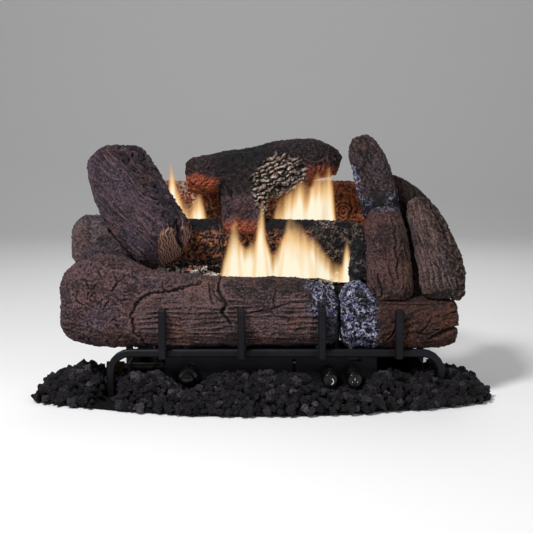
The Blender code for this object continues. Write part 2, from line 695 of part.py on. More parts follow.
def burner_stand(name, x, side, finish):
    """Stepped plate that holds both burners and both shelves, on a foot turned outwards."""
    front, back = STAND_FRONT_Y, PAN_REAR_Y - SHEET - STAND_BACK_GAP
    foot = PAN_FLOOR
    first_riser = STEP_FRONT_Y
    second_riser = MIDDLE_LOG_BACK_Y + GAP
    third_riser = REAR_BURNER_Y + BURNER_R
    arm = third_riser + REAR_ARM
    outline = [
        (front, foot),
        (front, FRONT_BURNER_Z + BURNER_CLEAR + STAND_RIM),
        (first_riser, FRONT_BURNER_Z + BURNER_CLEAR + STAND_RIM),
        (first_riser, MIDDLE_STEP_Z),
        (second_riser, MIDDLE_STEP_Z),
        (second_riser, REAR_BURNER_Z + BURNER_CLEAR + STAND_RIM),
        (third_riser, REAR_BURNER_Z + BURNER_CLEAR + STAND_RIM),
        (third_riser, REAR_STEP_Z),
        (arm, REAR_STEP_Z),
        (arm, REAR_STEP_Z - SHELF_LIP),
        (back, REAR_STEP_Z - SHELF_LIP - GUSSET * 1.6),
        (back, foot),
    ]
    plate = [(x, y, z) for y, z in outline]
    flange_x = x + side * STAND_FOOT
    flange = [(x, back, foot), (flange_x, back, foot), (flange_x, front, foot), (x, front, foot)]
    stand = sheet(name, [plate, flange] if side < 0 else [plate[::-1], flange[::-1]], finish)
    middle = (x + SHEET / 2, 0, 0)
    for number, (y, z) in enumerate(((FRONT_BURNER_Y, FRONT_BURNER_Z), (REAR_BURNER_Y, REAR_BURNER_Z)), 1):
        centre = (middle[0], y, z)
        cut(stand, through(f"{name}_hole_{number}", centre, X_AXIS, SHEET * 8, BURNER_CLEAR))


def log_shelf(name, step_z, front, back, finish):
    """Strip across both stands, with its front edge folded down."""
    left, right = STAND_LEFT_X - SHELF_OVERHANG, STAND_RIGHT_X + SHELF_OVERHANG
    top = step_z + GAP
    lip = top - SHELF_LIP
    quads = [
        [(left, front, top), (right, front, top), (right, back, top), (left, back, top)],
        [(left, front, top), (left, front, lip), (right, front, lip), (right, front, top)],
    ]
    sheet(name, quads, finish)


def pilot_group(finish):
    """Pilot burner, thermocouple and spark electrode on one bracket, with the tube and leads to them."""
    x, y, z = PILOT_X, FRONT_BURNER_Y, PILOT_SHELF_Z
    plate_x = PILOT_PLATE_X
    front, back = y - PILOT_SPACING * 1.5, y + PILOT_SPACING * 1.5
    shelf_x = plate_x - PILOT_SHELF
    foot = PAN_FLOOR
    quads = [
        [(plate_x, front, foot), (plate_x, back, foot), (plate_x, back, z), (plate_x, front, z)],
        [(plate_x, front, z), (plate_x, back, z), (shelf_x, back, z), (shelf_x, front, z)],
        [(plate_x, back, foot), (plate_x, front, foot), (shelf_x, front, foot), (shelf_x, back, foot)],
    ]
    bracket = sheet("pilot_bracket", quads, finish["burner"], -1)
    fittings = (
        ("thermocouple", y - PILOT_SPACING, THERMOCOUPLE, finish["brass"]),
        ("pilot_burner", y, PILOT_BURNER, finish["burner"]),
        ("electrode", y + PILOT_SPACING, ELECTRODE, finish["white"]),
    )
    below = z - PILOT_BELOW
    for name, fitting_y, (radius, above), colour in fittings:
        base = (x, fitting_y, below)
        top = PILOT_BELOW + above
        profile = [(0, radius), (top - radius * 1.5, radius)]
        profile += [(top - radius * 0.4, radius * 0.75), (top, radius * 0.4)]
        turned(name, base, Z_AXIS, profile, colour, 16)
        cut(bracket, through(f"{name}_hole", (x, fitting_y, z), Z_AXIS, SHEET * 6, radius + GAP))
    end = below - GAP
    low = PAN_FLOOR + LEAD_ABOVE_FLOOR
    valve_x = VALVE_LEFT_X - GAP
    pan_y = VALVE_MIDDLE_Y
    turn_x = plate_x - PILOT_SHELF * 0.45
    pilot_route = [
        (x, y, end), (x, y, end - 0.020), (x - 0.001, y - 0.010, end - 0.055),
        (turn_x, front - 0.006, end - 0.085), (plate_x + 0.010, front - 0.011, low + 0.014),
        (STAND_LEFT_X, front - 0.013, low + 0.006),
        (STAND_LEFT_X + 0.080, pan_y + 0.012, low + 0.004), (REGULATOR_X + 0.040, pan_y + 0.004, low + 0.004),
        (valve_x - 0.020, pan_y + 0.002, low + 0.010), (valve_x - 0.007, pan_y + 0.002, low + 0.014),
        (valve_x, pan_y + 0.002, low + 0.014),
    ]  # fmt: skip
    tube("pilot_tube", pilot_route, PILOT_TUBE_R, finish["alloy"])
    couple_y = y - PILOT_SPACING
    lead_route = [
        (x, couple_y, end), (x, couple_y - 0.001, end - 0.020), (x - 0.002, front - 0.006, end - 0.060),
        (turn_x, front - 0.020, end - 0.094), (plate_x + 0.018, pan_y - 0.006, low + 0.008),
        (STAND_LEFT_X + 0.020, pan_y - 0.014, low), (REGULATOR_X, pan_y - 0.018, low),
        (valve_x - 0.034, pan_y - 0.018, low + 0.006), (valve_x - 0.008, pan_y - 0.016, low + 0.018),
        (valve_x, pan_y - 0.016, low + 0.018),
    ]  # fmt: skip
    tube("thermocouple_lead", lead_route, LEAD_R, finish["brass"])
    tail_y = PANEL_FACE_Y + IGNITER_TAIL + GAP
    spark_y = y + PILOT_SPACING
    under_bar = GRATE_TOP - BAR - LEAD_UNDER_BAR
    wire_route = [
        (IGNITER_X, tail_y, CONTROL_Z), (IGNITER_X, tail_y + 0.004, CONTROL_Z),
        (IGNITER_X - 0.005, tail_y + 0.008, CONTROL_Z + 0.013),
        (IGNITER_X - 0.016, tail_y + 0.019, under_bar - 0.002),
        (FINGER_X[0] + 0.008, front - 0.013, under_bar), (turn_x + 0.002, front - 0.008, under_bar),
        (x - 0.006, y - 0.012, under_bar + 0.006), (x - 0.007, spark_y - 0.004, under_bar + 0.024),
        (x - 0.001, spark_y, end - 0.012), (x, spark_y, end),
    ]  # fmt: skip
    tube("igniter_wire", wire_route, LEAD_R, finish["wire"])


def bark_plate(place, side):
    """Height of a bark plate at a point of a log's surface, between -1 and 1: high and low by turns."""
    level = 1 if (place + side) % 2 else -1
    return level * (0.70 + 0.30 * math.sin(12.9 * place + 4.1 * side))


def ring_of(centre, along, across_half, rise_half, up, seed, travelled, place=None):
    """One lumpy, squarish ring of a log, with bark plates where its place in a row of rings is given."""
    across = along.cross(up).normalized()
    rise = across.cross(along).normalized()
    ring = []
    sides = LOG_SIDES if place is None else BARK_SIDES
    for i in range(sides):
        turn = 2 * math.pi * i / sides
        c, s = math.cos(turn), math.sin(turn)
        power = 2 / SQUARENESS
        swell = math.sin(3 * turn + 21 * travelled + seed)
        swell += 0.7 * math.sin(5 * turn - 37 * travelled + 2 * seed)
        size = 1 + LUMP * swell / 1.7
        a = math.copysign(abs(c) ** power, c) * across_half * size
        b = math.copysign(abs(s) ** power, s) * rise_half * size
        out = across * a + rise * b
        if place is not None:
            out += out.normalized() * BARK_RELIEF * bark_plate(place, i)
        ring.append(centre + out)
    return ring


def log_body(name, stations, finish=None, up=Z_AXIS, grow=0.0, seed=0.0, square_to=None, bark=False):
    """A log through stations of (centre, half across, half rise), with its end edges rounded off.

    Its rings stand square to its run, or to the given axis. Bark covers it in plates.
    """
    pitch = BARK_PITCH if bark else RING_PITCH
    run = smooth_run([(*centre, across, rise) for centre, across, rise in stations], pitch)
    for end, inner in ((0, 1), (-1, -2)):
        step = run[inner] - run[end]
        edge = run[end] + step * min(END_ROUND / step.length, 0.5)
        tip = run[end].copy()
        tip[3] *= END_SCALE
        tip[4] *= END_SCALE
        run[end] = tip
        run.insert(1 if end == 0 else len(run) - 1, edge)
    centres = [Vector(point[:3]) for point in run]
    rings = []
    travelled = 0.0
    for i, point in enumerate(run):
        ahead = centres[min(i + 1, len(run) - 1)] - centres[max(i - 1, 0)]
        travelled += (centres[i] - centres[max(i - 1, 0)]).length
        along = square_to or ahead.normalized()
        centre = centres[i]
        if grow and i in (0, len(run) - 1):
            centre = centre + along * (grow if i else -grow)
        place = i if bark else None
        rings.append(ring_of(centre, along, point[3] + grow, point[4] + grow, up, seed, travelled, place))
    bm = bmesh.new()
    loft(bm, rings, triangles=True)
    return smooth(new_object(name, bm, finish, stations[0][0]), 50)


def seated_log(name, stations, low, high, finish, seed, bark=False):
    """A log trimmed to a block, so that it sits flat, returned with a cutter a gap larger all round."""
    made = []
    for label, grow, colour in ((name, 0.0, finish), (f"{name}_cutter", GAP, None)):
        body = log_body(label, stations, colour, Z_AXIS, grow, seed, X_AXIS, bark)
        block = box(f"{label}_block", [v - grow for v in low], [v + grow for v in high])
        made.append(boolean(body, block, "INTERSECT"))
    as_cutter(made[1])
    return made


def level_stations(front, back, seat, rows):
    """Stations along X, from rows of (x, top, underside, front trim, back trim), heights from the seat."""
    stations = []
    for x, top, under, trim_front, trim_back in rows:
        near, far = front + trim_front, back - trim_back
        low, high = seat + under, seat + top
        stations.append(((x, (near + far) / 2, (low + high) / 2), (far - near) / 2, (high - low) / 2))
    return stations


def base_logs(finish):
    """The logs that stand on the grate and on the shelves, each with its cutter for the logs laid on it."""
    bite = -SEAT_BITE
    left, right = FRONT_LOG_LEFT_X, FRONT_LOG_RIGHT_X
    butt, height = FRONT_LOG_BUTT, FRONT_LOG_HEIGHT
    front, back, seat = FRONT_LOG_FRONT_Y, FRONT_LOG_BACK_Y, LOG_SEAT
    rows = [
        (left, butt - 0.036, 0.022, 0.012, 0.016),
        (left + 0.020, butt - 0.014, 0.008, 0.003, 0.006),
        (left + 0.062, butt, bite, bite, 0),
        (left + 0.108, butt - 0.006, bite, bite, 0),
        (left + 0.150, height + 0.007, bite, bite, 0),
        ((left + right) / 2, height, bite, bite, 0),
        (right - 0.110, height - 0.001, bite, bite, 0),
        (right - 0.046, height - 0.008, bite, bite, 0),
        (right - 0.012, height - 0.018, 0, 0, 0.004),
        (right, height - 0.030, 0.006, 0.008, 0.012),
    ]
    span = [(left - CUT_PAST, front, seat), (right + END_TRIM, back, seat + butt + CUT_PAST)]
    stations = level_stations(front, back, seat, rows)
    logs = {"front": seated_log("front_log", stations, *span, finish["log"], 0.4)}

    left, right = CORNER_LOG_LEFT_X, CORNER_LOG_RIGHT_X
    stub, height = CORNER_LOG_STUB, CORNER_LOG_HEIGHT
    rows = [
        (left, stub - 0.022, 0.008, 0.006, 0.012),
        (left + 0.014, stub - 0.004, bite, bite, 0.002),
        (left + 0.034, stub, bite, bite, 0),
        (left + 0.060, height + 0.003, bite, bite, 0),
        (left + 0.100, height, bite, bite, 0),
        (right - 0.040, height + 0.001, bite, bite, 0),
        (right - 0.012, height, 0.002, 0.002, 0.006),
        (right, height - 0.012, 0.010, 0.010, 0.014),
    ]
    span = [(left - END_TRIM, front, seat), (right + CUT_PAST, back, seat + stub + CUT_PAST)]
    stations = level_stations(front, back, seat, rows)
    logs["corner"] = seated_log("corner_log", stations, *span, finish["log"], 1.7)

    left, right, height, butt = MIDDLE_LOG_LEFT_X, MIDDLE_LOG_RIGHT_X, MIDDLE_LOG_HEIGHT, -MIDDLE_LOG_BUTT
    front, back, seat = MIDDLE_LOG_FRONT_Y, MIDDLE_LOG_BACK_Y, MIDDLE_SEAT
    rows = [
        (left, height - 0.008, 0.014, butt + 0.014, 0.010),
        (left + 0.020, height + 0.008, 0.002, butt + 0.002, 0),
        (left + 0.080, height + 0.005, bite, butt, 0),
        (left + 0.140, height + 0.002, bite, butt + 0.010, 0),
        (left + 0.190, height, bite, 0, 0),
        ((left + 0.190 + right) / 2, height, bite, 0, 0),
        (right - 0.060, height - 0.002, bite, 0, 0),
        (right - 0.014, height - 0.006, bite, 0, 0),
        (right, height - 0.016, 0.008, 0.006, 0.006),
    ]
    low = (left - CUT_PAST, front + butt - END_TRIM, seat)
    span = [low, (right + CUT_PAST, back, seat + height + CUT_PAST)]
    stations = level_stations(front, back, seat, rows)
    logs["middle"] = seated_log("middle_log", stations, *span, finish["char"], 2.9)

    left, right, height = REAR_LOG_LEFT_X, REAR_LOG_RIGHT_X, REAR_LOG_HEIGHT
    front, back, seat = REAR_LOG_FRONT_Y, REAR_LOG_BACK_Y, REAR_SEAT
    rows = [
        (left, height - 0.016, 0.010, 0.010, 0.010),
        (left + 0.016, height - 0.002, bite, 0, 0),
        (left + 0.110, height, bite, 0, 0),
        ((left + right) / 2 + 0.050, height - 0.003, bite, 0, 0),
        (right - 0.030, height, bite, 0, 0),
        (right, height - 0.014, 0.012, 0.012, 0.012),
    ]
    span = [(left - CUT_PAST, front, seat), (right + CUT_PAST, back, seat + height + CUT_PAST)]
    stations = level_stations(front, back, seat, rows)
    logs["rear"] = seated_log("rear_log", stations, *span, finish["log"], 4.1, True)

    x, y, seat = FINGER_X[-1] + 0.030, MIDDLE_LOG_FRONT_Y + 0.024, LOG_SEAT
    stations = [
        ((x - 0.008, y, seat - END_ROUND - SEAT_BITE), 0.036, 0.026),
        ((x + 0.020, y, seat + 0.103), 0.046, 0.028),
        ((x + 0.026, y, seat + 0.175), 0.048, 0.028),
        ((x + 0.006, y, seat + 0.221), 0.042, 0.026),
        ((x - 0.022, y, seat + 0.258), 0.032, 0.022),
        ((x - 0.042, y, seat + 0.282), 0.016, 0.014),
    ]
    made = []
    for label, grow, colour in (("right_rear_log", 0.0, finish["log"]), ("right_rear_log_cutter", GAP, None)):
        body = log_body(label, stations, colour, TO_VIEWER, grow, 5.2)
        reach = Vector((stations[0][1] + CUT_PAST, stations[0][2] + CUT_PAST, 0))
        foot = Vector((x, y, seat))
        below = box(f"{label}_block", foot - reach - Z_AXIS * CUT_PAST, foot + reach - Z_AXIS * grow)
        made.append(cut(body, below))
    as_cutter(made[1])
    logs["right_rear"] = made
    return logs


def laid_log(name, stations, under, finish, up=Z_AXIS, seed=0.0, branch=None):
    """A log laid on others, cut away where they hold it; returned with its own cutter."""
    made = []
    for label, grow, colour in ((name, 0.0, finish), (f"{name}_cutter", GAP, None)):
        body = log_body(label, stations, colour, up, grow, seed)
        if branch:
            boolean(body, log_body(f"{label}_branch", branch, colour, TO_VIEWER, grow, seed + 1), "UNION")
        made.append(body)
    cut(made[0], *(pair[1] for pair in under))
    as_cutter(made[1])
    return made


def laid_logs(logs, finish):
    """The logs on top, each placed from the tops of those that carry it."""
    corner, stub, rear_y = CORNER_TOP, CORNER_STUB_TOP, MIDDLE_LOG_FRONT_Y
    x = FINGER_X[-1]
    outer = [
        ((x + 0.080, FRONT_LOG_BACK_Y - 0.054, corner - 0.006), 0.038, 0.028),
        ((x + 0.078, FRONT_LOG_BACK_Y - 0.040, corner + 0.045), 0.040, 0.028),
        ((x + 0.070, FRONT_LOG_BACK_Y - 0.022, corner + 0.085), 0.036, 0.027),
        ((x + 0.050, rear_y - 0.034, corner + 0.138), 0.027, 0.024),
        ((x + 0.037, rear_y - 0.022, corner + 0.160), 0.015, 0.018),
    ]
    under = [logs["corner"], logs["right_rear"]]
    logs["outer"] = laid_log("right_outer_log", outer, under, finish["log"], TO_VIEWER, 0.9)
    inner = [
        ((x - 0.009, FRONT_LOG_BACK_Y - 0.054, corner - 0.006), 0.040, 0.026),
        ((x - 0.011, FRONT_LOG_BACK_Y - 0.034, corner + 0.060), 0.039, 0.027),
        ((x - 0.015, FRONT_LOG_BACK_Y - 0.008, corner + 0.115), 0.034, 0.026),
        ((x - 0.018, rear_y - 0.030, corner + 0.143), 0.030, 0.022),
    ]
    logs["inner"] = laid_log("right_inner_log", inner, under + [logs["outer"]], finish["log"], TO_VIEWER, 2.2)
    top = [
        ((x - 0.018, rear_y - 0.022, corner + 0.130), 0.033, 0.026),
        ((x - 0.027, rear_y - 0.014, corner + 0.178), 0.034, 0.026),
        ((x - 0.039, rear_y - 0.008, corner + 0.218), 0.032, 0.025),
        ((x - 0.053, rear_y - 0.002, corner + 0.252), 0.027, 0.022),
        ((x - 0.059, rear_y, corner + 0.271), 0.016, 0.015),
    ]
    under = [logs["inner"], logs["right_rear"], logs["outer"]]
    logs["top"] = laid_log("right_top_log", top, under, finish["log"], TO_VIEWER, 3.3)
    charred = [
        ((CORNER_LOG_LEFT_X + 0.036, FRONT_LOG_BACK_Y - 0.018, stub - 0.006), 0.019, 0.017),
        ((CORNER_LOG_LEFT_X + 0.036, rear_y - 0.030, stub + 0.034), 0.016, 0.016),
        ((CORNER_LOG_LEFT_X + 0.042, rear_y - 0.008, stub + 0.064), 0.014, 0.014),
    ]
    under = [logs["corner"], logs["middle"], logs["inner"], logs["top"]]
    laid_log("charred_stub", charred, under, finish["char"], TO_VIEWER, 4.4)

    diagonal = [
        ((DIAGONAL_X - 0.001, MIDDLE_LOG_BACK_Y - 0.010, MIDDLE_TOP + 0.123), 0.050, 0.042),
        ((DIAGONAL_X + 0.012, MIDDLE_LOG_BACK_Y - 0.026, MIDDLE_TOP + 0.078), 0.060, 0.056),
        ((DIAGONAL_X + 0.050, MIDDLE_LOG_FRONT_Y - 0.006, MIDDLE_TOP + 0.014), 0.060, 0.060),
        ((DIAGONAL_X + 0.104, FRONT_LOG_BACK_Y - 0.012, FRONT_TOP + 0.044), 0.050, 0.053),
    ]
    laid_log("left_diagonal_log", diagonal, [logs["front"], logs["middle"]], finish["log"], Z_AXIS, 5.5)

    limb_y = REAR_LOG_FRONT_Y - 0.034
    limb = [
        ((BRANCH_LEFT_X, limb_y, REAR_TOP + 0.013), 0.032, 0.031),
        ((BRANCH_LEFT_X + 0.060, limb_y, REAR_TOP + 0.018), 0.040, 0.037),
        ((BRANCH_LEFT_X + 0.136, limb_y, REAR_TOP + 0.019), 0.045, 0.048),
        ((BRANCH_LEFT_X + 0.182, limb_y, REAR_TOP + 0.031), 0.045, 0.048),
        ((BRANCH_LEFT_X + 0.232, limb_y, REAR_TOP + 0.044), 0.040, 0.037),
        ((BRANCH_LEFT_X + 0.276, limb_y, REAR_TOP + 0.034), 0.028, 0.022),
    ]
    arm = [
        ((BRANCH_LEFT_X + 0.106, limb_y - 0.006, REAR_TOP + 0.014), 0.042, 0.030),
        ((BRANCH_LEFT_X + 0.104, limb_y - 0.030, REAR_TOP - 0.034), 0.042, 0.032),
        ((BRANCH_LEFT_X + 0.100, MIDDLE_LOG_FRONT_Y + 0.004, MIDDLE_TOP - 0.024), 0.034, 0.026),
    ]
    laid_log("branch_log", limb, [logs["middle"], logs["rear"]], finish["log"], Z_AXIS, 6.6, arm)


def stone(column, row):
    """Height of loose stones at a point of their grid, between -1 and 1: high and low by turns."""
    level = 1 if (column + row) % 2 else -1
    return level * (0.65 + 0.35 * math.sin(12.9 * column + 4.7 * row))


def heap(name, xs, span, height, floor, rows, finish, stones=0.0):
    """A closed heap on a flat floor, in columns at the given X, each from a front to a back Y.

    Stones is the height of the loose stones on it, each a small pyramid.
    """
    bm = bmesh.new()
    tops, feet = [], []
    for column, x in enumerate(xs):
        front, back = span(x)
        ys = [front + (back - front) * i / rows for i in range(rows + 1)]
        tops.append([])
        for row, y in enumerate(ys):
            rise = height(x, y)
            rise += stone(column, row) * min(stones, rise * ROCK_RELIEF_SHARE)
            tops[-1].append(bm.verts.new((x, y, floor + rise)))
        feet.append([bm.verts.new((x, y, floor)) for y in ys])
    for column in range(len(xs) - 1):
        for row in range(rows):
            around = ((column, row), (column + 1, row), (column + 1, row + 1), (column, row + 1))
            a, b, c, d = (tops[i][j] for i, j in around)
            if not stones:
                bm.faces.new((a, b, c, d))
            elif (column + row) % 2:
                bm.faces.new((a, b, d))
                bm.faces.new((b, c, d))
            else:
                bm.faces.new((a, b, c))
                bm.faces.new((a, c, d))
            bm.faces.new([feet[i][j] for i, j in around][::-1])
    last = len(xs) - 1
    rim = [(column, 0) for column in range(last)] + [(last, row) for row in range(rows)]
    rim += [(column, rows) for column in range(last, 0, -1)] + [(0, row) for row in range(rows, 0, -1)]
    for (a, b), (c, d) in zip(rim, rim[1:] + rim[:1]):
        bm.faces.new([tops[a][b], feet[a][b], feet[c][d], tops[c][d]])
    made = new_object(name, bm, finish)
    made.data.shade_flat()
    return made


def spread(first, last, pitch):
    steps = max(2, round((last - first) / pitch))
    return [first + (last - first) * i / steps for i in range(steps + 1)]


def lumps(x, y, size):
    """Rough relief between -1 and 1, for tufts of the given size."""
    u, v = x / size, y / size
    waves = math.sin(4.1 * u + 1.3 * v), math.sin(2.3 * u - 3.7 * v + 1.9), math.sin(5.3 * v + 0.7 + 1.1 * u)
    return sum(waves) / len(waves)


def ember_bed(finish):
    """Rock wool laid over the front burner, between the front log and the middle one."""
    front, back = FRONT_LOG_BACK_Y + 2 * GAP, STEP_FRONT_Y - GAP - SHEET - 2 * GAP
    floor = FRONT_BURNER_Z + GAP
    top = FRONT_BURNER_TOP + EMBER_HEIGHT - EMBER_RELIEF - floor
    xs = spread(EMBER_LEFT_X, EMBER_RIGHT_X, EMBER_CELL)
    embers = heap(
        "ember_bed", xs, lambda x: (front, back), lambda x, y: top + EMBER_RELIEF * lumps(x, y, EMBER_CELL),
        floor, 4, finish,
    )  # fmt: skip
    length = EMBER_RIGHT_X - EMBER_LEFT_X + 2 * CUT_PAST
    start = (EMBER_LEFT_X - CUT_PAST, FRONT_BURNER_Y, FRONT_BURNER_Z)
    cut(embers, rod("ember_burner_cutter", start, X_AXIS, length, BURNER_CLEAR, sides=24))


def lava_rock(finish):
    """Three beds of loose rock: before the panel, and at each side of the pan."""
    low_places = [(x, ROCK_PANEL_Y, ROCK_LOW, ROCK_LOW_REACH) for x in (GAS_KNOB_X, FLAME_KNOB_X, IGNITER_X)]
    inlet_x = PAN_LEFT_X - PIPE_OUTSIDE - FITTING_LENGTH / 2
    low_places.append((inlet_x, VALVE_MIDDLE_Y, ROCK_LOW, ROCK_LOW_REACH))
    low_places.append((LEG_LEFT_X, RAIL_FRONT_Y - 1.5 * ROCK_BARE_REACH, ROCK_BARE, ROCK_BARE_REACH))

    def front_of(x):
        return ROCK_FRONT_Y + (ROCK_SIDE_Y - ROCK_FRONT_Y) * (x / ROCK_HALF_WIDTH) ** 2

    def back_of(x):
        return ROCK_BACK_Y - (ROCK_BACK_Y - ROCK_PANEL_Y) * ROCK_DRAWN_IN * (x / ROCK_HALF_WIDTH) ** 6

    def height_of(x, y):
        inward = min(y - front_of(x), ROCK_HALF_WIDTH - abs(x), back_of(x) - y)
        rise = min(1.0, max(0.0, inward / ROCK_SLOPE))
        full = ROCK_HEIGHT
        for place_x, place_y, low, reach in low_places:
            near = min(1.0, math.hypot(x - place_x, (y - place_y) * 0.5) / reach)
            full = min(full, low + (ROCK_HEIGHT - low) * near**4)
        return ROCK_EDGE + (full - ROCK_EDGE) * rise**0.7

    def rows_between(front, back):
        return max(2, round((back - front) / ROCK_CELL))

    def front_span(x):
        return front_of(x), ROCK_PANEL_Y

    def side_span(x):
        return ROCK_PANEL_Y + GAP, back_of(x)

    xs = spread(-ROCK_HALF_WIDTH, ROCK_HALF_WIDTH, ROCK_CELL)
    rows = rows_between(ROCK_FRONT_Y, ROCK_PANEL_Y)
    front_bed = heap("lava_rock_front", xs, front_span, height_of, 0, rows, finish, ROCK_RELIEF)
    reach = BAR_HALF + ROCK_CLEAR
    for number, x in enumerate((LEG_LEFT_X, LEG_RIGHT_X), 1):
        low = (x - reach, RAIL_FRONT_Y - reach, -CUT_PAST)
        cut(front_bed, box(f"leg_gap_{number}", low, (x + reach, RAIL_FRONT_Y + reach, GRATE_TOP)))
    sides = (
        ("lava_rock_left", -ROCK_HALF_WIDTH, PAN_LEFT_X - ROCK_CLEAR),
        ("lava_rock_right", PAN_RIGHT_X + ROCK_CLEAR, ROCK_HALF_WIDTH),
    )
    rows = rows_between(ROCK_PANEL_Y, ROCK_BACK_Y)
    for name, left, right in sides:
        xs = spread(left, right, ROCK_CELL)
        heap(name, xs, side_span, height_of, 0, rows, finish, ROCK_RELIEF)


def build():
    clear_scene()
    finish = make_materials()
    grate(finish["grate"])
    base_pan(finish["panel"])
    control_panel(finish["panel"])
    panel_screws(finish["alloy"])
    controls(finish)
    gas_train(finish)
    burner("front_burner", FRONT_BURNER_Y, FRONT_BURNER_Z, finish["burner"])
    burner("rear_burner", REAR_BURNER_Y, REAR_BURNER_Z, finish["burner"])
    burner_stand("left_stand", STAND_LEFT_X, -1, finish["burner"])
    burner_stand("right_stand", STAND_RIGHT_X, 1, finish["burner"])
    log_shelf("middle_shelf", MIDDLE_STEP_Z, STEP_FRONT_Y - GAP, MIDDLE_LOG_BACK_Y - GAP, finish["burner"])
    rear_back = REAR_BURNER_Y + BURNER_R + REAR_ARM
    log_shelf("rear_shelf", REAR_STEP_Z, REAR_BURNER_Y + BURNER_R - GAP, rear_back, finish["burner"])
    pilot_group(finish)
    laid_logs(base_logs(finish), finish)
    ember_bed(finish["ember"])
    lava_rock(finish["rock"])


build()
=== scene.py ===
"""Looks of the gas log set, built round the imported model: carved logs, loose rock, embers, flames, finishes.

The model's own frame is in metres: +X to the right, +Y to the back, +Z up. The logs' surfaces are carved by
moving the points of a fine, even copy of each solid along their normals. Marks on those points then drive the
colours. Colours are given as on a screen, 0 to 255.
"""

import itertools
import json
import math

import bmesh
import bpy
import numpy as np
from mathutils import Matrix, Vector
from mathutils.bvhtree import BVHTree


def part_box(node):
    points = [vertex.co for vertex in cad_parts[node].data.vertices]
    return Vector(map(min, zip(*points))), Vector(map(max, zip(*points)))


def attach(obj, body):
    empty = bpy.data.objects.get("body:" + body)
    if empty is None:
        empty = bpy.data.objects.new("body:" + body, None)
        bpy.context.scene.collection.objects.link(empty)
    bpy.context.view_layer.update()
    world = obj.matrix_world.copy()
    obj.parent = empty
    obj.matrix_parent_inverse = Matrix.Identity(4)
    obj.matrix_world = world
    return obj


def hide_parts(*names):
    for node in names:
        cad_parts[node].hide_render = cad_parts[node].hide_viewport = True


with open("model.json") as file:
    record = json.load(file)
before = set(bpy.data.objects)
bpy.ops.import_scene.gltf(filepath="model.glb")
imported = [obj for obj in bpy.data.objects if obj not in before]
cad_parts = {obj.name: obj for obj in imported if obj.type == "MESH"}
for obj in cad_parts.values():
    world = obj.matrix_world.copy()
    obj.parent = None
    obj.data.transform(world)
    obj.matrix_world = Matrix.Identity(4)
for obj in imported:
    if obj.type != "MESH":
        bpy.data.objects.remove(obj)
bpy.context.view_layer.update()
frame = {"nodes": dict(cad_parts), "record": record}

MM = 0.001


# Camera, light and ground

FLOOR_TONE = (231.1, 231.1, 231.1)
CAMERA_PLACE = (0.0074, -1.75, 0.46)
CAMERA_DOWN = 7.9  # degrees below the horizon
SENSOR = 36.0
FOCAL_PIXELS = 1000.0
PICTURE_PIXELS = 533.0


def make_camera():
    data = bpy.data.cameras.new("camera")
    data.sensor_width = SENSOR
    data.lens = SENSOR * FOCAL_PIXELS / PICTURE_PIXELS
    camera = bpy.data.objects.new("camera", data)
    camera.location = CAMERA_PLACE
    camera.rotation_euler = (math.radians(90 - CAMERA_DOWN), 0, 0)
    bpy.context.scene.collection.objects.link(camera)
    bpy.context.scene.camera = camera


def area_lamp(name, place, target, size, power, colour=(1, 1, 1)):
    data = bpy.data.lights.new(name, "AREA")
    data.shape = "DISK"
    data.size = size
    data.energy = power
    data.color = colour
    lamp = bpy.data.objects.new(name, data)
    lamp.location = place
    lamp.rotation_euler = (Vector(target) - Vector(place)).to_track_quat("-Z", "Y").to_euler()
    bpy.context.scene.collection.objects.link(lamp)


def make_light():
    middle = (0, 0, 0.2)
    area_lamp("key_lamp", (-1.0, -1.2, 2.0), middle, 0.5, 58)
    area_lamp("fill_lamp", (1.6, -1.3, 0.9), middle, 1.4, 10)
    area_lamp("back_lamp", (0.3, 1.6, 1.8), middle, 1.4, 12)
    world = bpy.data.worlds.new("studio")
    world.use_nodes = True
    shown = world.node_tree.nodes["Background"]
    shown.inputs["Color"].default_value = (0.90, 0.90, 0.91, 1)
    shown.inputs["Strength"].default_value = 0.26
    bpy.context.scene.world = world


def make_ground():
    """Pale floor that turns up into a backdrop far behind."""
    half, front, back, bend, top, steps = 14.0, -14.0, 4.0, 1.5, 5.0, 12
    turns = [math.pi / 2 * i / steps for i in range(steps + 1)]
    curve = [(back - bend + bend * math.sin(turn), bend - bend * math.cos(turn)) for turn in turns]
    outline = [(front, 0.0), *curve, (back, top)]
    bm = bmesh.new()
    rows = [[bm.verts.new((x, y, z)) for x in (-half, half)] for y, z in outline]
    for near, far in zip(rows, rows[1:]):
        bm.faces.new((near[0], near[1], far[1], far[0]))
    floor = add_shape("studio_floor", bm)
    floor.data.shade_smooth()
    floor.data.materials.append(new_material("floor_pale", FLOOR_TONE, 0.85)[0])


def add_object(name, mesh):
    obj = bpy.data.objects.new(name, mesh)
    bpy.context.scene.collection.objects.link(obj)
    return obj


def add_shape(name, bm):
    mesh = bpy.data.meshes.new(name)
    bm.to_mesh(mesh)
    bm.free()
    return add_object(name, mesh)


def add_faces(name, points, faces, marks, material):
    """A piece that rides on the root, from points in metres and marks on them."""
    mesh = bpy.data.meshes.new(name)
    mesh.from_pydata(points.tolist(), [], faces.tolist())
    write_marks(mesh, marks)
    mesh.materials.append(material)
    obj = add_object(name, mesh)
    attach(obj, "root")
    return obj


def write_marks(mesh, marks):
    for name, values in marks.items():
        attribute = mesh.attributes.new(name, "FLOAT", "POINT")
        attribute.data.foreach_set("value", values.astype(np.float32))


# Materials

def paint(tone):
    """What a shader takes for a colour given as on a screen, 0 to 255."""
    return *(((v / 255 + 0.055) / 1.055) ** 2.4 if v > 10 else v / 255 / 12.92 for v in tone), 1


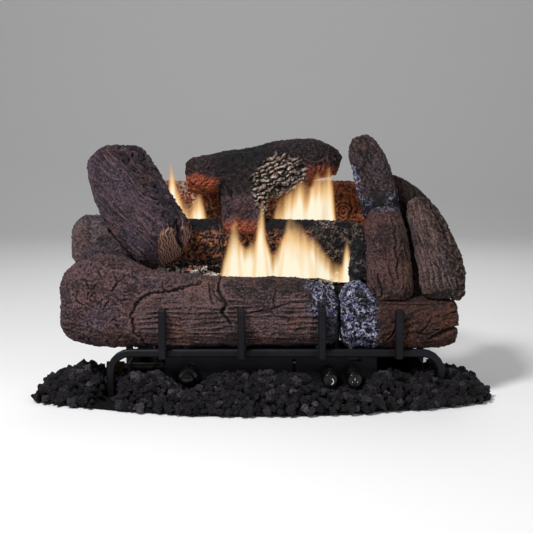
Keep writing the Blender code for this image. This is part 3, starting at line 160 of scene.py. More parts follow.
def new_material(name, tone, roughness, metallic=0.0, specular=0.5):
    material = bpy.data.materials.new(name)
    material.use_nodes = True
    tree = material.node_tree
    shader = tree.nodes["Principled BSDF"]
    for key, value in (("Base Color", paint(tone)), ("Roughness", roughness), ("Metallic", metallic),
                       ("Specular IOR Level", specular)):
        shader.inputs[key].default_value = value
    return material, tree, shader


def node(tree, kind, inputs=None, **settings):
    """A shader node with its settings, and each input set to a value or linked to a socket."""
    made = tree.nodes.new(f"ShaderNode{kind}")
    for key, value in settings.items():
        setattr(made, key, value)
    for key, value in (inputs or {}).items():
        if isinstance(value, bpy.types.NodeSocket):
            tree.links.new(value, made.inputs[key])
        else:
            made.inputs[key].default_value = value
    return made


def place_vector(tree, stretch=(1, 1, 1), turn=(0, 0, 0), shift=(0, 0, 0)):
    """Place on the piece, in metres, shifted, turned and stretched."""
    place = node(tree, "TexCoord").outputs["Object"]
    inputs = {"Vector": place, "Location": shift, "Rotation": turn, "Scale": stretch}
    return node(tree, "Mapping", inputs).outputs["Vector"]


def noise(tree, vector, scale, detail=4.0, roughness=0.55, distortion=0.0):
    inputs = {"Vector": vector, "Scale": scale, "Detail": detail, "Roughness": roughness,
              "Distortion": distortion}
    return node(tree, "TexNoise", inputs).outputs["Fac"]


def ramp(tree, value, low, high, bottom=0.0, top=1.0):
    inputs = {"Value": value, "From Min": low, "From Max": high, "To Min": bottom, "To Max": top}
    return node(tree, "MapRange", inputs, interpolation_type="SMOOTHSTEP").outputs["Result"]


def mix(tree, factor, first, second):
    """From the first colour to the second. Each is a socket or a tone."""
    made = node(tree, "Mix", {0: factor}, data_type="RGBA")
    for key, value in ((6, first), (7, second)):
        if isinstance(value, bpy.types.NodeSocket):
            tree.links.new(value, made.inputs[key])
        else:
            made.inputs[key].default_value = paint(value)
    return made.outputs[2]


def times(tree, first, second, operation="MULTIPLY"):
    return node(tree, "Math", {0: first, 1: second}, operation=operation).outputs[0]


def plus(tree, first, second):
    return times(tree, first, second, "ADD")


def brighten(tree, colour, amount):
    return node(tree, "VectorMath", {0: colour, "Scale": amount}, operation="SCALE").outputs[0]


def mark(tree, name):
    return node(tree, "Attribute", attribute_name=name).outputs["Fac"]


def finish_shader(tree, shader, colour, height, distance, strength=1.0):
    """Gives the shader its colour and its bumps."""
    tree.links.new(colour, shader.inputs["Base Color"])
    made = node(tree, "Bump", {"Height": height, "Distance": distance, "Strength": strength})
    tree.links.new(made.outputs["Normal"], shader.inputs["Normal"])


SOOT = (15, 15, 21)
SOOT_WORN = (42, 37, 39)
BLUE_ASH = ((86, 94, 154), (224, 222, 244))
WARM_ASH = ((128, 94, 78), (240, 220, 204))
SINGED = (168, 86, 58)
# painted shade for cracks, cuts and hollows
CREVICE_SHADE = (20, 14, 13)
CUT_END = ((62, 40, 32), (128, 94, 72))
# pale lines, and a painted highlight on crests
PALE_AND_CREST_HIGHLIGHT = (122, 100, 100)


def log_material(name, first, second=None, pale=PALE_AND_CREST_HIGHLIGHT, end=CUT_END, ash=BLUE_ASH, singed=SINGED):
    """Painted ceramic. A palette holds its dark, light, warm and cool tones. What the marks of the carving
    say then goes over it: pale lines and a painted highlight on crests, rings on a cut end, scorching and
    painted flame light, soot, painted shade in furrows and cracks, and ash."""
    material, tree, shader = new_material(name, first[1], 0.9, specular=0.3)
    place = place_vector(tree)
    broad = noise(tree, place, 30, 4, 0.6, 0.5)
    patch = noise(tree, place_vector(tree, shift=(0.3, 0.1, 0.7)), 19, 3, 0.55, 0.3)
    fine = noise(tree, place, 165, 5, 0.68)
    grain = noise(tree, place, 330, 4, 0.75)

    def body(palette):
        dark, light, warm, cool = palette
        colour = mix(tree, ramp(tree, broad, 0.40, 0.60), dark, light)
        colour = mix(tree, ramp(tree, patch, 0.53, 0.66, 0, 0.75), colour, warm)
        return mix(tree, ramp(tree, patch, 0.47, 0.34, 0, 0.75), colour, cool)

    def cover(colour, name, tone, *spread):
        """The tone over the colour where the mark says, broken up by the grain."""
        mask = mark(tree, name)
        if spread:
            mask = times(tree, mask, ramp(tree, grain, *spread))
        return mix(tree, mask, colour, tone)

    colour = body(first)
    if second:
        colour = cover(colour, "second", body(second))
    colour = brighten(tree, colour, ramp(tree, fine, 0.30, 0.70, 0.52, 1.50))
    colour = brighten(tree, colour, ramp(tree, grain, 0.32, 0.68, 0.48, 1.55))
    # pale on the ridge mark: pale lines and rings, and a painted highlight on crests
    colour = cover(colour, "ridge", pale, 0.38, 0.60, 0.10, 0.95)
    colour = cover(colour, "end", mix(tree, mark(tree, "ridge"), *end))
    # scorching, and on the middle log painted flame light
    colour = cover(colour, "singe", singed, 0.36, 0.62, 0.25, 1.0)
    colour = cover(colour, "char", mix(tree, ramp(tree, fine, 0.42, 0.66), SOOT, SOOT_WORN))
    # dark on the crack mark: painted shade in cracks, cuts and hollows
    colour = cover(colour, "crack", CREVICE_SHADE, 0.66, 0.40, 0.55, 0.95)
    colour = cover(colour, "ash", mix(tree, ramp(tree, fine, 0.38, 0.62), *ash), 0.32, 0.54, 0.40, 1.0)
    finish_shader(tree, shader, colour, plus(tree, fine, times(tree, grain, 0.9)), 0.0042)
    return material


# Noise

FAR = 9e3  # more millimetres than any two places on the set are apart
RANDOM = np.random.default_rng(11)
SHUFFLE = RANDOM.permutation(256)
SLOPES = RANDOM.normal(size=(256, 3))
SLOPES /= np.linalg.norm(SLOPES, axis=1, keepdims=True)
SPOTS = RANDOM.uniform(0.08, 0.92, size=(256, 3))


def cell_code(cell, seed):
    code = SHUFFLE[(cell[:, 0] + 37 * seed) & 255]
    code = SHUFFLE[(code + cell[:, 1]) & 255]
    return SHUFFLE[(code + cell[:, 2]) & 255]


def soft_noise(q, seed=0):
    """Smooth noise about -1 to 1, with lumps about one unit across."""
    cell = np.floor(q).astype(np.int64)
    part = q - cell
    ease = part**3 * (part * (part * 6 - 15) + 10)
    total = np.zeros(len(q))
    for corner in itertools.product((0, 1), repeat=3):
        corner = np.array(corner)
        slope = SLOPES[cell_code(cell + corner, seed)]
        weight = np.where(corner, ease, 1 - ease).prod(1)
        total += weight * ((part - corner) * slope).sum(1)
    return total * 1.6


def rough_noise(q, octaves=3, seed=0):
    return sum(soft_noise(q * 2**i, seed + i) / 2**i for i in range(octaves)) / (2 - 0.5 ** (octaves - 1))


def step(low, high, value):
    """Smooth step from 0 at low to 1 at high, which may be the smaller one."""
    t = np.clip((value - low) / (high - low), 0, 1)
    return t * t * (3 - 2 * t)


def path_distance(x, z, path):
    """Distance in the XZ plane to a line through the points, and how far along it that is, 0 to 1."""
    best = np.full(len(x), FAR)
    where = np.zeros(len(x))
    for i, ((x0, z0), (x1, z1)) in enumerate(zip(path, path[1:])):
        dx, dz = x1 - x0, z1 - z0
        t = np.clip(((x - x0) * dx + (z - z0) * dz) / (dx * dx + dz * dz), 0, 1)
        gap = np.hypot(x - x0 - t * dx, z - z0 - t * dz)
        where = np.where(gap < best, (i + t) / (len(path) - 1), where)
        best = np.minimum(best, gap)
    return best, where


def inside(x, z, outline):
    """Whether each place in the XZ plane lies in the outline."""
    result = np.zeros(len(x), bool)
    for (x0, z0), (x1, z1) in zip(outline, outline[1:] + outline[:1]):
        crosses = (z0 > z) != (z1 > z)
        result ^= crosses & (x < (x1 - x0) * (z - z0) / (z1 - z0 + 1e-9) + x0)
    return result


# Carving

MARKS = ("crack", "ridge", "char", "ash", "singe", "end", "second")
REACH = 0.006  # how far a neighbour is looked for
DEEPEST = -12  # the rest are in millimetres: the deepest cut
SHALLOW = -0.8  # a point cut deeper than this stays clear of every neighbour
CLEARANCE = 0.4
GROUND = 0.2  # the lowest a point may lie
all_nodes = sorted(frame["nodes"])


def tree_of(names):
    points, faces = [], []
    for name in names:
        mesh = frame["nodes"][name].data
        start = len(points)
        points.extend(v.co.copy() for v in mesh.vertices)
        faces.extend([start + i for i in polygon.vertices] for polygon in mesh.polygons)
    return BVHTree.FromPolygons(points, faces) if faces else None


def neighbours(name):
    """The other solids whose boxes come close to one."""
    low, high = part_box(name)
    close = []
    for other in all_nodes:
        low2, high2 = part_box(other)
        apart = any(low2[i] > high[i] + REACH or high2[i] < low[i] - REACH for i in range(3))
        if other != name and not apart:
            close.append(other)
    return close


class Carving:
    """The surface of one solid while it is carved. Lengths are in millimetres, and marks run from 0 to 1."""

    def __init__(self, name, grain=(1, 0, 0), voxel=1.8, rounds=5):
        self.name = name
        self.obj = add_object(f"{name}_carved", frame["nodes"][name].data.copy())
        even = self.obj.modifiers.new("Even mesh", "REMESH")
        even.mode = "VOXEL"
        even.voxel_size = voxel * MM
        soft = self.obj.modifiers.new("Soft edges", "SMOOTH")
        soft.factor = 0.5
        soft.iterations = rounds
        found = self.obj.evaluated_get(bpy.context.evaluated_depsgraph_get())
        mesh = bpy.data.meshes.new_from_object(found)
        self.obj.modifiers.clear()
        self.obj.data = mesh
        self.count = len(mesh.vertices)
        self.p = self.read("co") / MM
        self.n = self.read("normal")
        self.x, self.y, self.z = self.p.T
        along = Vector(grain).normalized()
        side = along.cross(Vector((0, 1, 0))).normalized()
        self.basis = np.array([along, side, along.cross(side)])
        self.height = np.zeros(self.count)
        self.marks = {name: np.zeros(self.count) for name in MARKS}
        self.front = step(0.30, -0.15, self.n[:, 1])
        links = np.empty(len(mesh.edges) * 2, np.int32)
        mesh.edges.foreach_get("vertices", links)
        self.links = links.reshape(-1, 2).T

    def read(self, what):
        values = np.empty(self.count * 3)
        self.obj.data.vertices.foreach_get(what, values)
        return values.reshape(-1, 3)

    def wander(self, size, seed, octaves=1):
        """Slow noise over the surface, with lumps of that size."""
        return rough_noise(self.p / size, octaves, seed)

    def border(self, low, high, value, size, seed, amount):
        """Step from low to high of a value, along a border that wanders by an amount."""
        return step(low, high, value + self.wander(size, seed) * amount)

    def clouds(self, low, high, size, seed):
        return step(low, high, self.wander(size, seed))

    def space(self, long, wide, seed=0, warp=0.0, warp_size=30.0):
        """Places in units of a pattern, long along the grain and wide across it, pushed about by warp."""
        p = self.p
        if warp:
            p = p + np.stack([self.wander(warp_size, seed + 50 + i) for i in range(3)], 1) * warp
        return (p @ self.basis.T) / np.array([long, wide, wide])

    def ragged(self, size, seed, amount):
        """The places as seen from the front, pushed about a little."""
        return [axis + self.wander(size, seed + i) * amount for i, axis in enumerate((self.x, self.z))]

    def patch(self, outline, soft=4.0, ragged=4.0):
        """Mask of the area that an outline encloses, as seen from the front."""
        x, z = self.ragged(9, 3, ragged)
        gap = path_distance(x, z, outline + outline[:1])[0]
        gap = np.where(inside(x, z, outline), gap, -gap)
        return step(-soft * 0.5, soft * 0.5, gap) * self.front

    def add(self, name, amount):
        self.marks[name] = np.clip(self.marks[name] + amount, 0, 1)

    def lumps(self, size, depth, seed, mask=1.0):
        self.height += self.wander(size, seed, 2) * depth * mask

    def fibres(self, long, wide, depth, seed, mask=1.0, warp=0.0, warp_size=30.0, sharp=0.0, ridge=0.0):
        """Ridges that run with the grain, rounded furrows between them."""
        value = soft_noise(self.space(long, wide, seed, warp, warp_size), seed)
        crest = 1 - 2 * np.abs(value)
        if sharp:
            crest = crest - sharp * step(0.75, 1.0, -value * 2)
        self.height += crest * depth * mask
        if ridge:
            # pale crest: painted highlight
            self.add("ridge", step(0.70, 0.95, crest) * ridge * mask)

    def ledges(self, period, depth, seed, mask=1.0, wander=0.8, long=60.0, tilt=(0, 0, 1), ridge=0.5):
        """Overlapping layers across the grain: each stands out sharply over a furrow and then falls away."""
        q = self.space(long, period * 2.2, seed)
        across = self.p @ np.array(tilt) / period + rough_noise(q, 2, seed) * wander
        part = across - np.floor(across)
        strong = step(-0.55, 0.35, soft_noise(self.space(long * 0.7, period * 1.8), seed + 5))
        rise = step(0.0, 0.16, part)
        self.height += ((1 - part) * rise - 0.42) * depth * (0.3 + 0.7 * strong) * mask
        # pale crest over the furrow: painted highlight
        self.add("ridge", step(0.10, 0.18, part) * step(0.46, 0.24, part) * ridge * strong * mask)

    def nicks(self, size, length, width, depth, seed, mask=1.0, share=0.6, bend=0.03, grain=0.0):
        """Short curved cuts, at most one to a cell of that size, drawn towards the grain by grain."""
        q = self.p / size
        cell = np.floor(q).astype(np.int64)
        part = q - cell
        best = np.zeros(self.count)
        for offset in itertools.product((-1, 0, 1), repeat=3):
            code = cell_code(cell + np.array(offset), seed)
            gap = (np.array(offset) + SPOTS[code] - part) * size
            way = SLOPES[(code + 91) & 255] + self.basis[0] * grain
            way = way - self.n * (way * self.n).sum(1)[:, None]
            way /= np.linalg.norm(way, axis=1)[:, None] + 1e-6
            run = (gap * way).sum(1)
            side = (gap * np.cross(self.n, way)).sum(1) + run * run * bend
            deep = (gap * self.n).sum(1) * 0.5
            reach = length * (0.6 + 0.8 * ((code * 7) & 255) / 255)
            ends = step(reach * 0.5, reach * 0.28, np.abs(run))
            line = step(width, width * 0.2, np.hypot(side, deep)) * ends
            best = np.maximum(best, line * (((code * 13) & 255) / 255 < share))
        best *= mask
        self.height -= best * depth
        # the crack mark darkens the cut: painted shade
        self.add("crack", best * 0.9)

    def gash(self, path, width, depth, ragged=1.5, taper=0.6):
        """One crack along points seen from the front, ragged, and thinner towards its ends."""
        gap, where = path_distance(*self.ragged(6, 71, ragged), path)
        thin = width * (1 - taper * np.abs(2 * where - 1) ** 2)
        line = step(thin, thin * 0.15, gap) * self.front
        self.height -= line * depth
        # the crack mark darkens the crack: painted shade
        self.add("crack", line)

    def vein(self, path, width, depth, ragged=1.0, strength=0.9, name="ridge"):
        """One raised pale line along points seen from the front."""
        gap, where = path_distance(*self.ragged(8, 73, ragged), path)
        line = step(width, width * 0.2, gap) * self.front * step(0, 0.12, where) * step(1, 0.88, where)
        self.height += line * depth
        self.add(name, line * strength)

    def dent(self, centre, radius, depth, name=None):
        gap = np.linalg.norm(self.p - np.array(centre), axis=1)
        hollow = step(radius, radius * 0.25, gap)
        self.height -= hollow * depth
        if name:
            self.add(name, hollow)

    def crackle(self, size, depth, mask, seed, ash=1.0, char=1.0, thin=3.2, warp=0.45, line=0.40):
        """Burnt crust: dark pits with a raised network of ash between them."""
        q = self.space(size, size, seed, size * warp, size * 1.2)
        net = np.maximum(1 - thin * np.abs(soft_noise(q, seed)),
                         0.8 - thin * np.abs(soft_noise(q * 1.8, seed + 3)))
        net = np.clip(net, 0, 1)
        self.height += (net - 0.45) * depth * mask
        self.add("char", char * mask)
        self.add("ash", step(line, line + 0.24, net) * ash * mask)
        return net

    def rings(self, centre, axis, period, depth, mask, seed, stretch=(1, 1, 1), wander=0.7):
        """Growth rings of a cut end, round a line through centre."""
        away = (self.p - np.array(centre)) * np.array(stretch)
        axis = np.array(Vector(axis).normalized())
        flat = away - (away @ axis)[:, None] * axis
        radius = np.linalg.norm(flat, axis=1) / period + self.wander(14, seed) * wander
        wave = np.cos(radius * 2 * math.pi)
        self.height += wave * depth * mask
        self.marks["ridge"] = np.where(mask > 0.3, step(-0.2, 0.8, wave), self.marks["ridge"])
        self.add("end", mask)

    def weather(self, seed, high=0.5, low=0.7, rounds=10, reach=0.7):
        """A rough skin, then a painted highlight on crests and painted shade in hollows, where it stands above
        or below its surroundings.
        """
        self.lumps(4.2, 1.7, seed)
        a, b = self.links
        near = np.bincount(a, minlength=self.count) + np.bincount(b, minlength=self.count)
        soft = self.height
        for _ in range(rounds):
            total = np.bincount(a, soft[b], self.count) + np.bincount(b, soft[a], self.count)
            soft = total / np.maximum(near, 1)
        relief = self.height - soft
        # painted highlight where it stands above its surroundings, painted shade where it lies below
        self.add("ridge", step(reach * 0.15, reach, relief) * high)
        self.add("crack", step(-reach * 0.25, -reach * 1.5, relief) * low)

    def finish(self, material, limit=3.5):
        """Moves the points, kept clear of the neighbours, and writes the marks."""
        tree = tree_of(neighbours(self.name))
        height = np.clip(self.height, DEEPEST, limit)
        if tree:
            for i in np.nonzero(height > SHALLOW)[0]:
                hit = tree.find_nearest(Vector(self.p[i] * MM), REACH)
                if hit[0] is not None:
                    height[i] = min(height[i], hit[3] / MM - CLEARANCE)
        p = (self.p + self.n * height[:, None]) * MM
        p[:, 2] = np.maximum(p[:, 2], GROUND * MM)
        mesh = self.obj.data
        mesh.vertices.foreach_set("co", p.ravel())
        write_marks(mesh, self.marks)
        mesh.shade_smooth()
        mesh.materials.clear()
        mesh.materials.append(material)
        mesh.update()
        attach(self.obj, "root")
        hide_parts(self.name)

    def dress(self, *palettes, **tones):
        """Finishes a log in its own painted ceramic."""
        self.finish(log_material(f"{self.name}_ceramic", *palettes, **tones))


# Logs. A palette holds the dark, light, warm and cool tones.

BARK = ((48, 34, 37), (86, 63, 68), (94, 63, 56), (68, 55, 69))
SPLIT = ((40, 30, 31), (96, 73, 74), (106, 72, 60), (78, 63, 72))
# rust-red brightened as if lit by the flames: painted flame light
FLAME_LIT_RUST = ((104, 50, 32), (212, 116, 78), (240, 128, 72), (148, 92, 70))
GREY = ((50, 40, 44), (98, 82, 89), (98, 76, 70), (72, 64, 78))
DARK = ((18, 13, 12), (46, 33, 30), (60, 38, 26), (36, 31, 34))


def front_log():
    s = Carving("front_log", (1, 0, 0), 1.6)
    border = [(-104, 213), (-104, 200), (-152, 189), (-194, 183), (-209, 172), (-218, 155), (-222, 145),
              (-217, 129), (-219, 117), (-207, 107), (-197, 86)]
    edge = np.interp(s.z, *zip(*[(z, x) for x, z in border[::-1]]))
    bark = step(1.2, -1.2, s.x - edge + s.wander(7, 5) * 2.5)
    split = 1 - bark
    s.add("second", split)
    s.lumps(55, 2.4, 1)
    s.height += bark * 1.3 - split * 1.5
    s.lumps(22, 2.4, 2, bark)
    s.fibres(26, 15, 0.9, 3, bark, 12, 22, ridge=0.2)
    s.ledges(8.5, 1.9, 33, bark, 1.8, 22, (0.25, 0, 1), 0.45)
    s.lumps(7, 0.7, 37, bark)
    s.nicks(17, 13, 2.0, 3.4, 4, bark, 0.6)
    s.nicks(9, 5, 1.4, 1.8, 14, bark, 0.5)
    low = s.border(182, 166, s.z, 30, 15, 8)
    s.ledges(9.5, 3.2, 6, split * (0.25 + 0.75 * low), 0.9, 70, ridge=0.85)
    s.ledges(5.2, 1.3, 16, split, 1.0, 40, ridge=0.4)
    s.fibres(22, 4.0, 0.6, 7, split, 3)
    s.nicks(13, 9, 1.6, 2.2, 18, split * (1 - low), 0.5, grain=1.0)
    s.nicks(15, 14, 1.5, 2.0, 19, split * low, 0.5, 0.01, 2.5)
    s.gash(border[1:], 2.8, 4.4, 3.4, 0.3)
    for path, width, depth in (
        ([(-91, 200), (-88, 190), (-86, 178), (-84, 165)], 3.0, 4),
        ([(-72, 207), (-74, 190), (-67, 176), (-61, 164), (-68, 152), (-59, 140), (-52, 131)], 4.8, 7),
        ([(-86, 192), (-78, 180), (-68, 168)], 2.0, 3),
        ([(23, 202), (22, 180), (18, 173), (22, 159), (13, 154), (22, 147)], 2.0, 3),
        ([(76, 169), (47, 168), (22, 159), (0, 156), (-24, 149)], 2.0, 3),
        ([(-277, 222), (-270, 210)], 2.2, 3), ([(-250, 216), (-243, 202), (-252, 188)], 3.0, 4),
        ([(-296, 205), (-290, 192)], 2.4, 3.4), ([(-221, 215), (-207, 203)], 2.4, 3.4),
        ([(-170, 203), (-167, 190)], 2.2, 3), ([(-311, 188), (-313, 173), (-300, 163)], 2.2, 3),
        ([(-267, 158), (-258, 173)], 2.4, 3.4), ([(-296, 110), (-295, 99)], 2.2, 3),
        ([(-268, 92), (-262, 106)], 2.2, 3), ([(-249, 101), (-238, 113)], 2.6, 3),
        ([(-234, 95), (-230, 103)], 2.2, 3), ([(-237, 168), (-228, 156)], 2.0, 2.6),
    ):
        s.gash(path, width, depth)
    for path, width, depth in (
        ([(-218, 152), (-189, 152), (-172, 154), (-152, 147), (-130, 144)], 2.0, 1.2),
        ([(-337, 158), (-318, 166), (-300, 160), (-312, 150)], 1.8, 1.0),
        ([(-330, 139), (-310, 132), (-284, 128), (-268, 118)], 1.8, 1.0),
        ([(-280, 178), (-258, 182), (-238, 166), (-226, 158)], 1.8, 1.0),
        ([(-288, 232), (-262, 224), (-232, 218), (-206, 208), (-160, 204)], 2.0, 1.0),
        ([(-208, 135), (-196, 136)], 1.8, 1.0),
    ):
        s.vein(path, width, depth, 2.0, 0.85)
    s.weather(8, 0.65, 0.8)
    s.add("ridge", split * step(-60, -110, s.x) * 0.22)
    warm = s.patch([(-150, 148), (-132, 146), (-130, 90), (-148, 90)], 14, 6)
    s.add("singe", warm * 0.10)
    burnt = s.border(80, 112, s.x, 20, 9, 12)
    crust = s.border(64, 92, s.x, 16, 10, 12) * s.border(136, 160, s.z, 12, 11, 8)
    s.crackle(10, 2.0, crust, 12, 0.9 * s.clouds(-0.5, 0.2, 22, 117), 0.95, 4.2)
    s.crackle(14, 1.6, burnt * (1 - crust), 13, 0.12, 0.95)
    s.add("char", s.border(176, 196, s.z, 14, 17, 6) * step(-60, 20, s.x) * 0.5)
    s.height += step(188, 200, s.z) * step(-40, -90, s.x) * step(-260, -200, s.x) * 2.2
    s.dress(BARK, SPLIT, pale=(132, 104, 102))


def corner_log():
    s = Carving("corner_log", (1, 0, 0.35), 1.5)
    border = np.interp(s.z, [90, 130, 152, 173, 200], [194, 197, 188, 194, 196])
    burnt = step(8, -8, s.x - border + s.wander(12, 22) * 10)
    top = step(158, 166, s.z - (s.x - 210) * 0.04 + s.wander(14, 27) * 2) * (1 - burnt)
    s.lumps(40, 2.4, 21)
    s.add("second", top)
    plain = (1 - burnt) * (1 - top * 0.75)
    s.fibres(34, 11, 1.5, 23, plain, 6, sharp=0.6)
    s.fibres(18, 6, 0.9, 28, plain, 4)
    s.nicks(17, 22, 2.2, 4.2, 24, plain, 0.6, 0.02, 1.6)
    s.nicks(12, 10, 1.5, 2.2, 29, plain, 0.5, 0.02, 1.2)
    s.height -= top * 1.2
    s.crackle(10, 3.2, burnt, 25, s.clouds(-0.7, 0.1, 20, 118), 1.0, 4.4, 0.9, 0.38)
    s.gash([(206, 166), (232, 164), (262, 163), (300, 166)], 2.2, 2.4, 1.5, 0.2)
    s.gash([(338, 126), (313, 122), (298, 114), (280, 106)], 5.0, 8)
    s.gash([(338, 152), (318, 150), (304, 143)], 2.6, 4)
    s.gash([(262, 112), (276, 126), (286, 144)], 2.4, 3.4)
    s.gash([(214, 106), (226, 124), (226, 140)], 2.4, 3.4)
    s.dent((340, -60, 122), 22, 9)
    s.weather(26, 0.45, 0.85)
    s.vein([(203, 168), (226, 167), (262, 164), (298, 168), (322, 170)], 2.2, 0.4, 2.0, 0.4)
    palette = ((34, 20, 17), (70, 44, 40), (82, 48, 36), (54, 38, 42))
    smooth = ((36, 23, 23), (60, 40, 39), (68, 42, 37), (50, 38, 43))
    s.dress(palette, smooth, pale=(124, 86, 66))


def middle_log():
    s = Carving("middle_log", (0.75, 0.1, -0.62), 1.8)
    burnt = s.border(-232, -176, s.x, 30, 31, 18)
    butt = 1 - burnt
    s.lumps(45, 2.6, 32)
    s.ledges(6.5, 1.8, 33, butt, 1.0, 50, (0.62, 0, 0.75), 0.5)
    s.fibres(30, 6, 0.9, 37, butt, 5)
    s.nicks(16, 10, 1.7, 2.4, 38, butt, 0.4, 0.03, 0.8)
    s.dent((-233, 9, 242), 7, 5, "crack")
    s.gash([(-272, 284), (-262, 272), (-248, 257)], 3.6, 6)
    s.dent((-268, 10, 281), 8, 5, "char")
    crust = s.border(84, 110, s.x, 12, 39, 10)
    foot = burnt * s.border(228, 214, s.z, 9, 41, 8) * step(-60, -90, s.x)
    net = s.crackle(9, 3.4, burnt * (1 - crust), 34, 0.0, 1.0, 2.6, 0.8)
    s.crackle(9, 2.8, crust, 40, 0.7 * s.clouds(-0.6, 0.3, 14, 119), 1.0, 4.0, 0.9)
    s.weather(36, 0.35, 0.7)
    top = s.border(286, 270, s.z, 20, 45, 8)
    # orange over the burnt network below the top: painted flame light from the flames
    glow = burnt * (1 - crust) * (1 - foot) * step(0.30, 0.70, net) * top * s.clouds(-0.65, 0.05, 11, 35)
    s.marks["char"] = np.clip(s.marks["char"] - glow, 0, 1)
    s.marks["crack"] = np.clip(s.marks["crack"] - glow, 0, 1)
    s.add("singe", glow)
    s.crackle(10, 1.6, foot, 42, 1.0, 1.0, 3.6)
    s.dress(GREY, pale=(130, 112, 112), ash=((96, 78, 74), (206, 180, 164)), singed=(200, 122, 66))


def rear_log():
    s = Carving("rear_log", (1, 0, 0), 1.8)
    s.lumps(45, 2.0, 41)
    crusted = s.border(70, 30, s.x, 20, 46, 14)
    s.crackle(12, 3.2, crusted, 47, 0.7, 0.4, 3.6)
    s.fibres(24, 8, 1.4, 43, 1 - crusted, 6, ridge=0.3)
    s.crackle(15, 1.6, 1 - crusted, 57, 0.0, 0.0)
    s.nicks(15, 10, 1.7, 2.0, 48, 1 - crusted, 0.5)
    knot = step(19, 15, np.hypot(s.x - 152, (s.z - 305) * 0.9) + s.wander(9, 49) * 2) * s.front
    s.rings((152, 132, 305), (0, 1, 0), 6.5, 0.9, knot, 50, (1, 1, 0.9))
    s.gash([(164, 324), (168, 308), (160, 290)], 3.0, 4)
    s.weather(44, 0.6, 0.75)
    s.height += step(184, 192, s.x) * 3.3
    # the back keeps the darker tones of away; the brighter front is painted flame light
    s.add("second", 1 - s.front)
    away = ((44, 29, 26), (88, 60, 52), (100, 64, 48), (70, 52, 50))
    # front palette, pale and end tones brightened: painted flame light
    s.dress(FLAME_LIT_RUST, away, pale=(206, 146, 112), end=((124, 64, 44), (224, 144, 104)), ash=WARM_ASH)


def left_diagonal_log():
    s = Carving("left_diagonal_log", (0.50, -0.55, -0.70), 1.6)
    spine = [(-250, 432), (-236, 412), (-212, 395), (-190, 362), (-168, 332), (-150, 308), (-134, 296)]
    gap, where = path_distance(s.x, s.z, spine)
    chips = step(26, 12, gap + s.wander(14, 56) * 8)
    outline = [(-176, 280), (-168, 290), (-152, 294), (-136, 299), (-108, 300), (-104, 210), (-184, 210)]
    face = s.patch(outline, 5, 2)
    body = (1 - chips) * (1 - face)
    s.lumps(48, 2.6, 51)
    s.ledges(10, 2.4, 52, body, 1.2, 70, (0.72, 0.2, 0.62), 0.75)
    s.ledges(5.0, 1.5, 56, body, 1.5, 36, (0.72, 0.2, 0.62), 0.6)
    s.fibres(40, 3.8, 0.7, 53, body, 6, 16)
    s.nicks(20, 18, 1.8, 2.6, 54, body, 0.5, 0.01, 2.0)
    s.ledges(9, 3.6, 57, chips, 1.8, 20, (0.72, 0.2, 0.62), 0.35)
    s.nicks(11, 13, 3.2, 4.6, 63, chips, 0.8, 0.02, 1.2)
    s.lumps(8, 1.8, 64, chips)
    s.add("char", chips * s.clouds(-0.4, 0.3, 16, 58) * 0.8)
    left = face * s.border(-143, -149, s.x, 8, 60, 3)
    right = face * s.border(-143, -137, s.x, 8, 60, 3)
    s.rings((-104, -20, 262), (0, 1, 0), 4.3, 0.8, left, 61, (1, 1, 0.55), 0.75)
    s.rings((-84, -20, 258), (0, 1, 0), 4.1, 0.8, right, 62, (1, 1, 0.55), 0.75)
    s.gash([(-148, 302), (-144, 284), (-148, 268), (-142, 250)], 4.0, 6, 1.5, 0.2)
    s.dent((-170, -46, 290), 6, 2.0)
    s.weather(55, 0.5, 0.75)
    s.vein([(-178, 298), (-166, 300), (-160, 290), (-168, 282), (-178, 288)], 1.8, 0.6, 0.5, 0.9)
    s.vein([(-250, 352), (-226, 330), (-204, 306), (-182, 288)], 1.8, 0.6, 3.0, 0.6)
    palette = ((40, 30, 35), (76, 58, 67), (86, 54, 50), (60, 50, 65))
    s.dress(palette, pale=(122, 98, 106), end=((116, 84, 74), (194, 150, 132)))


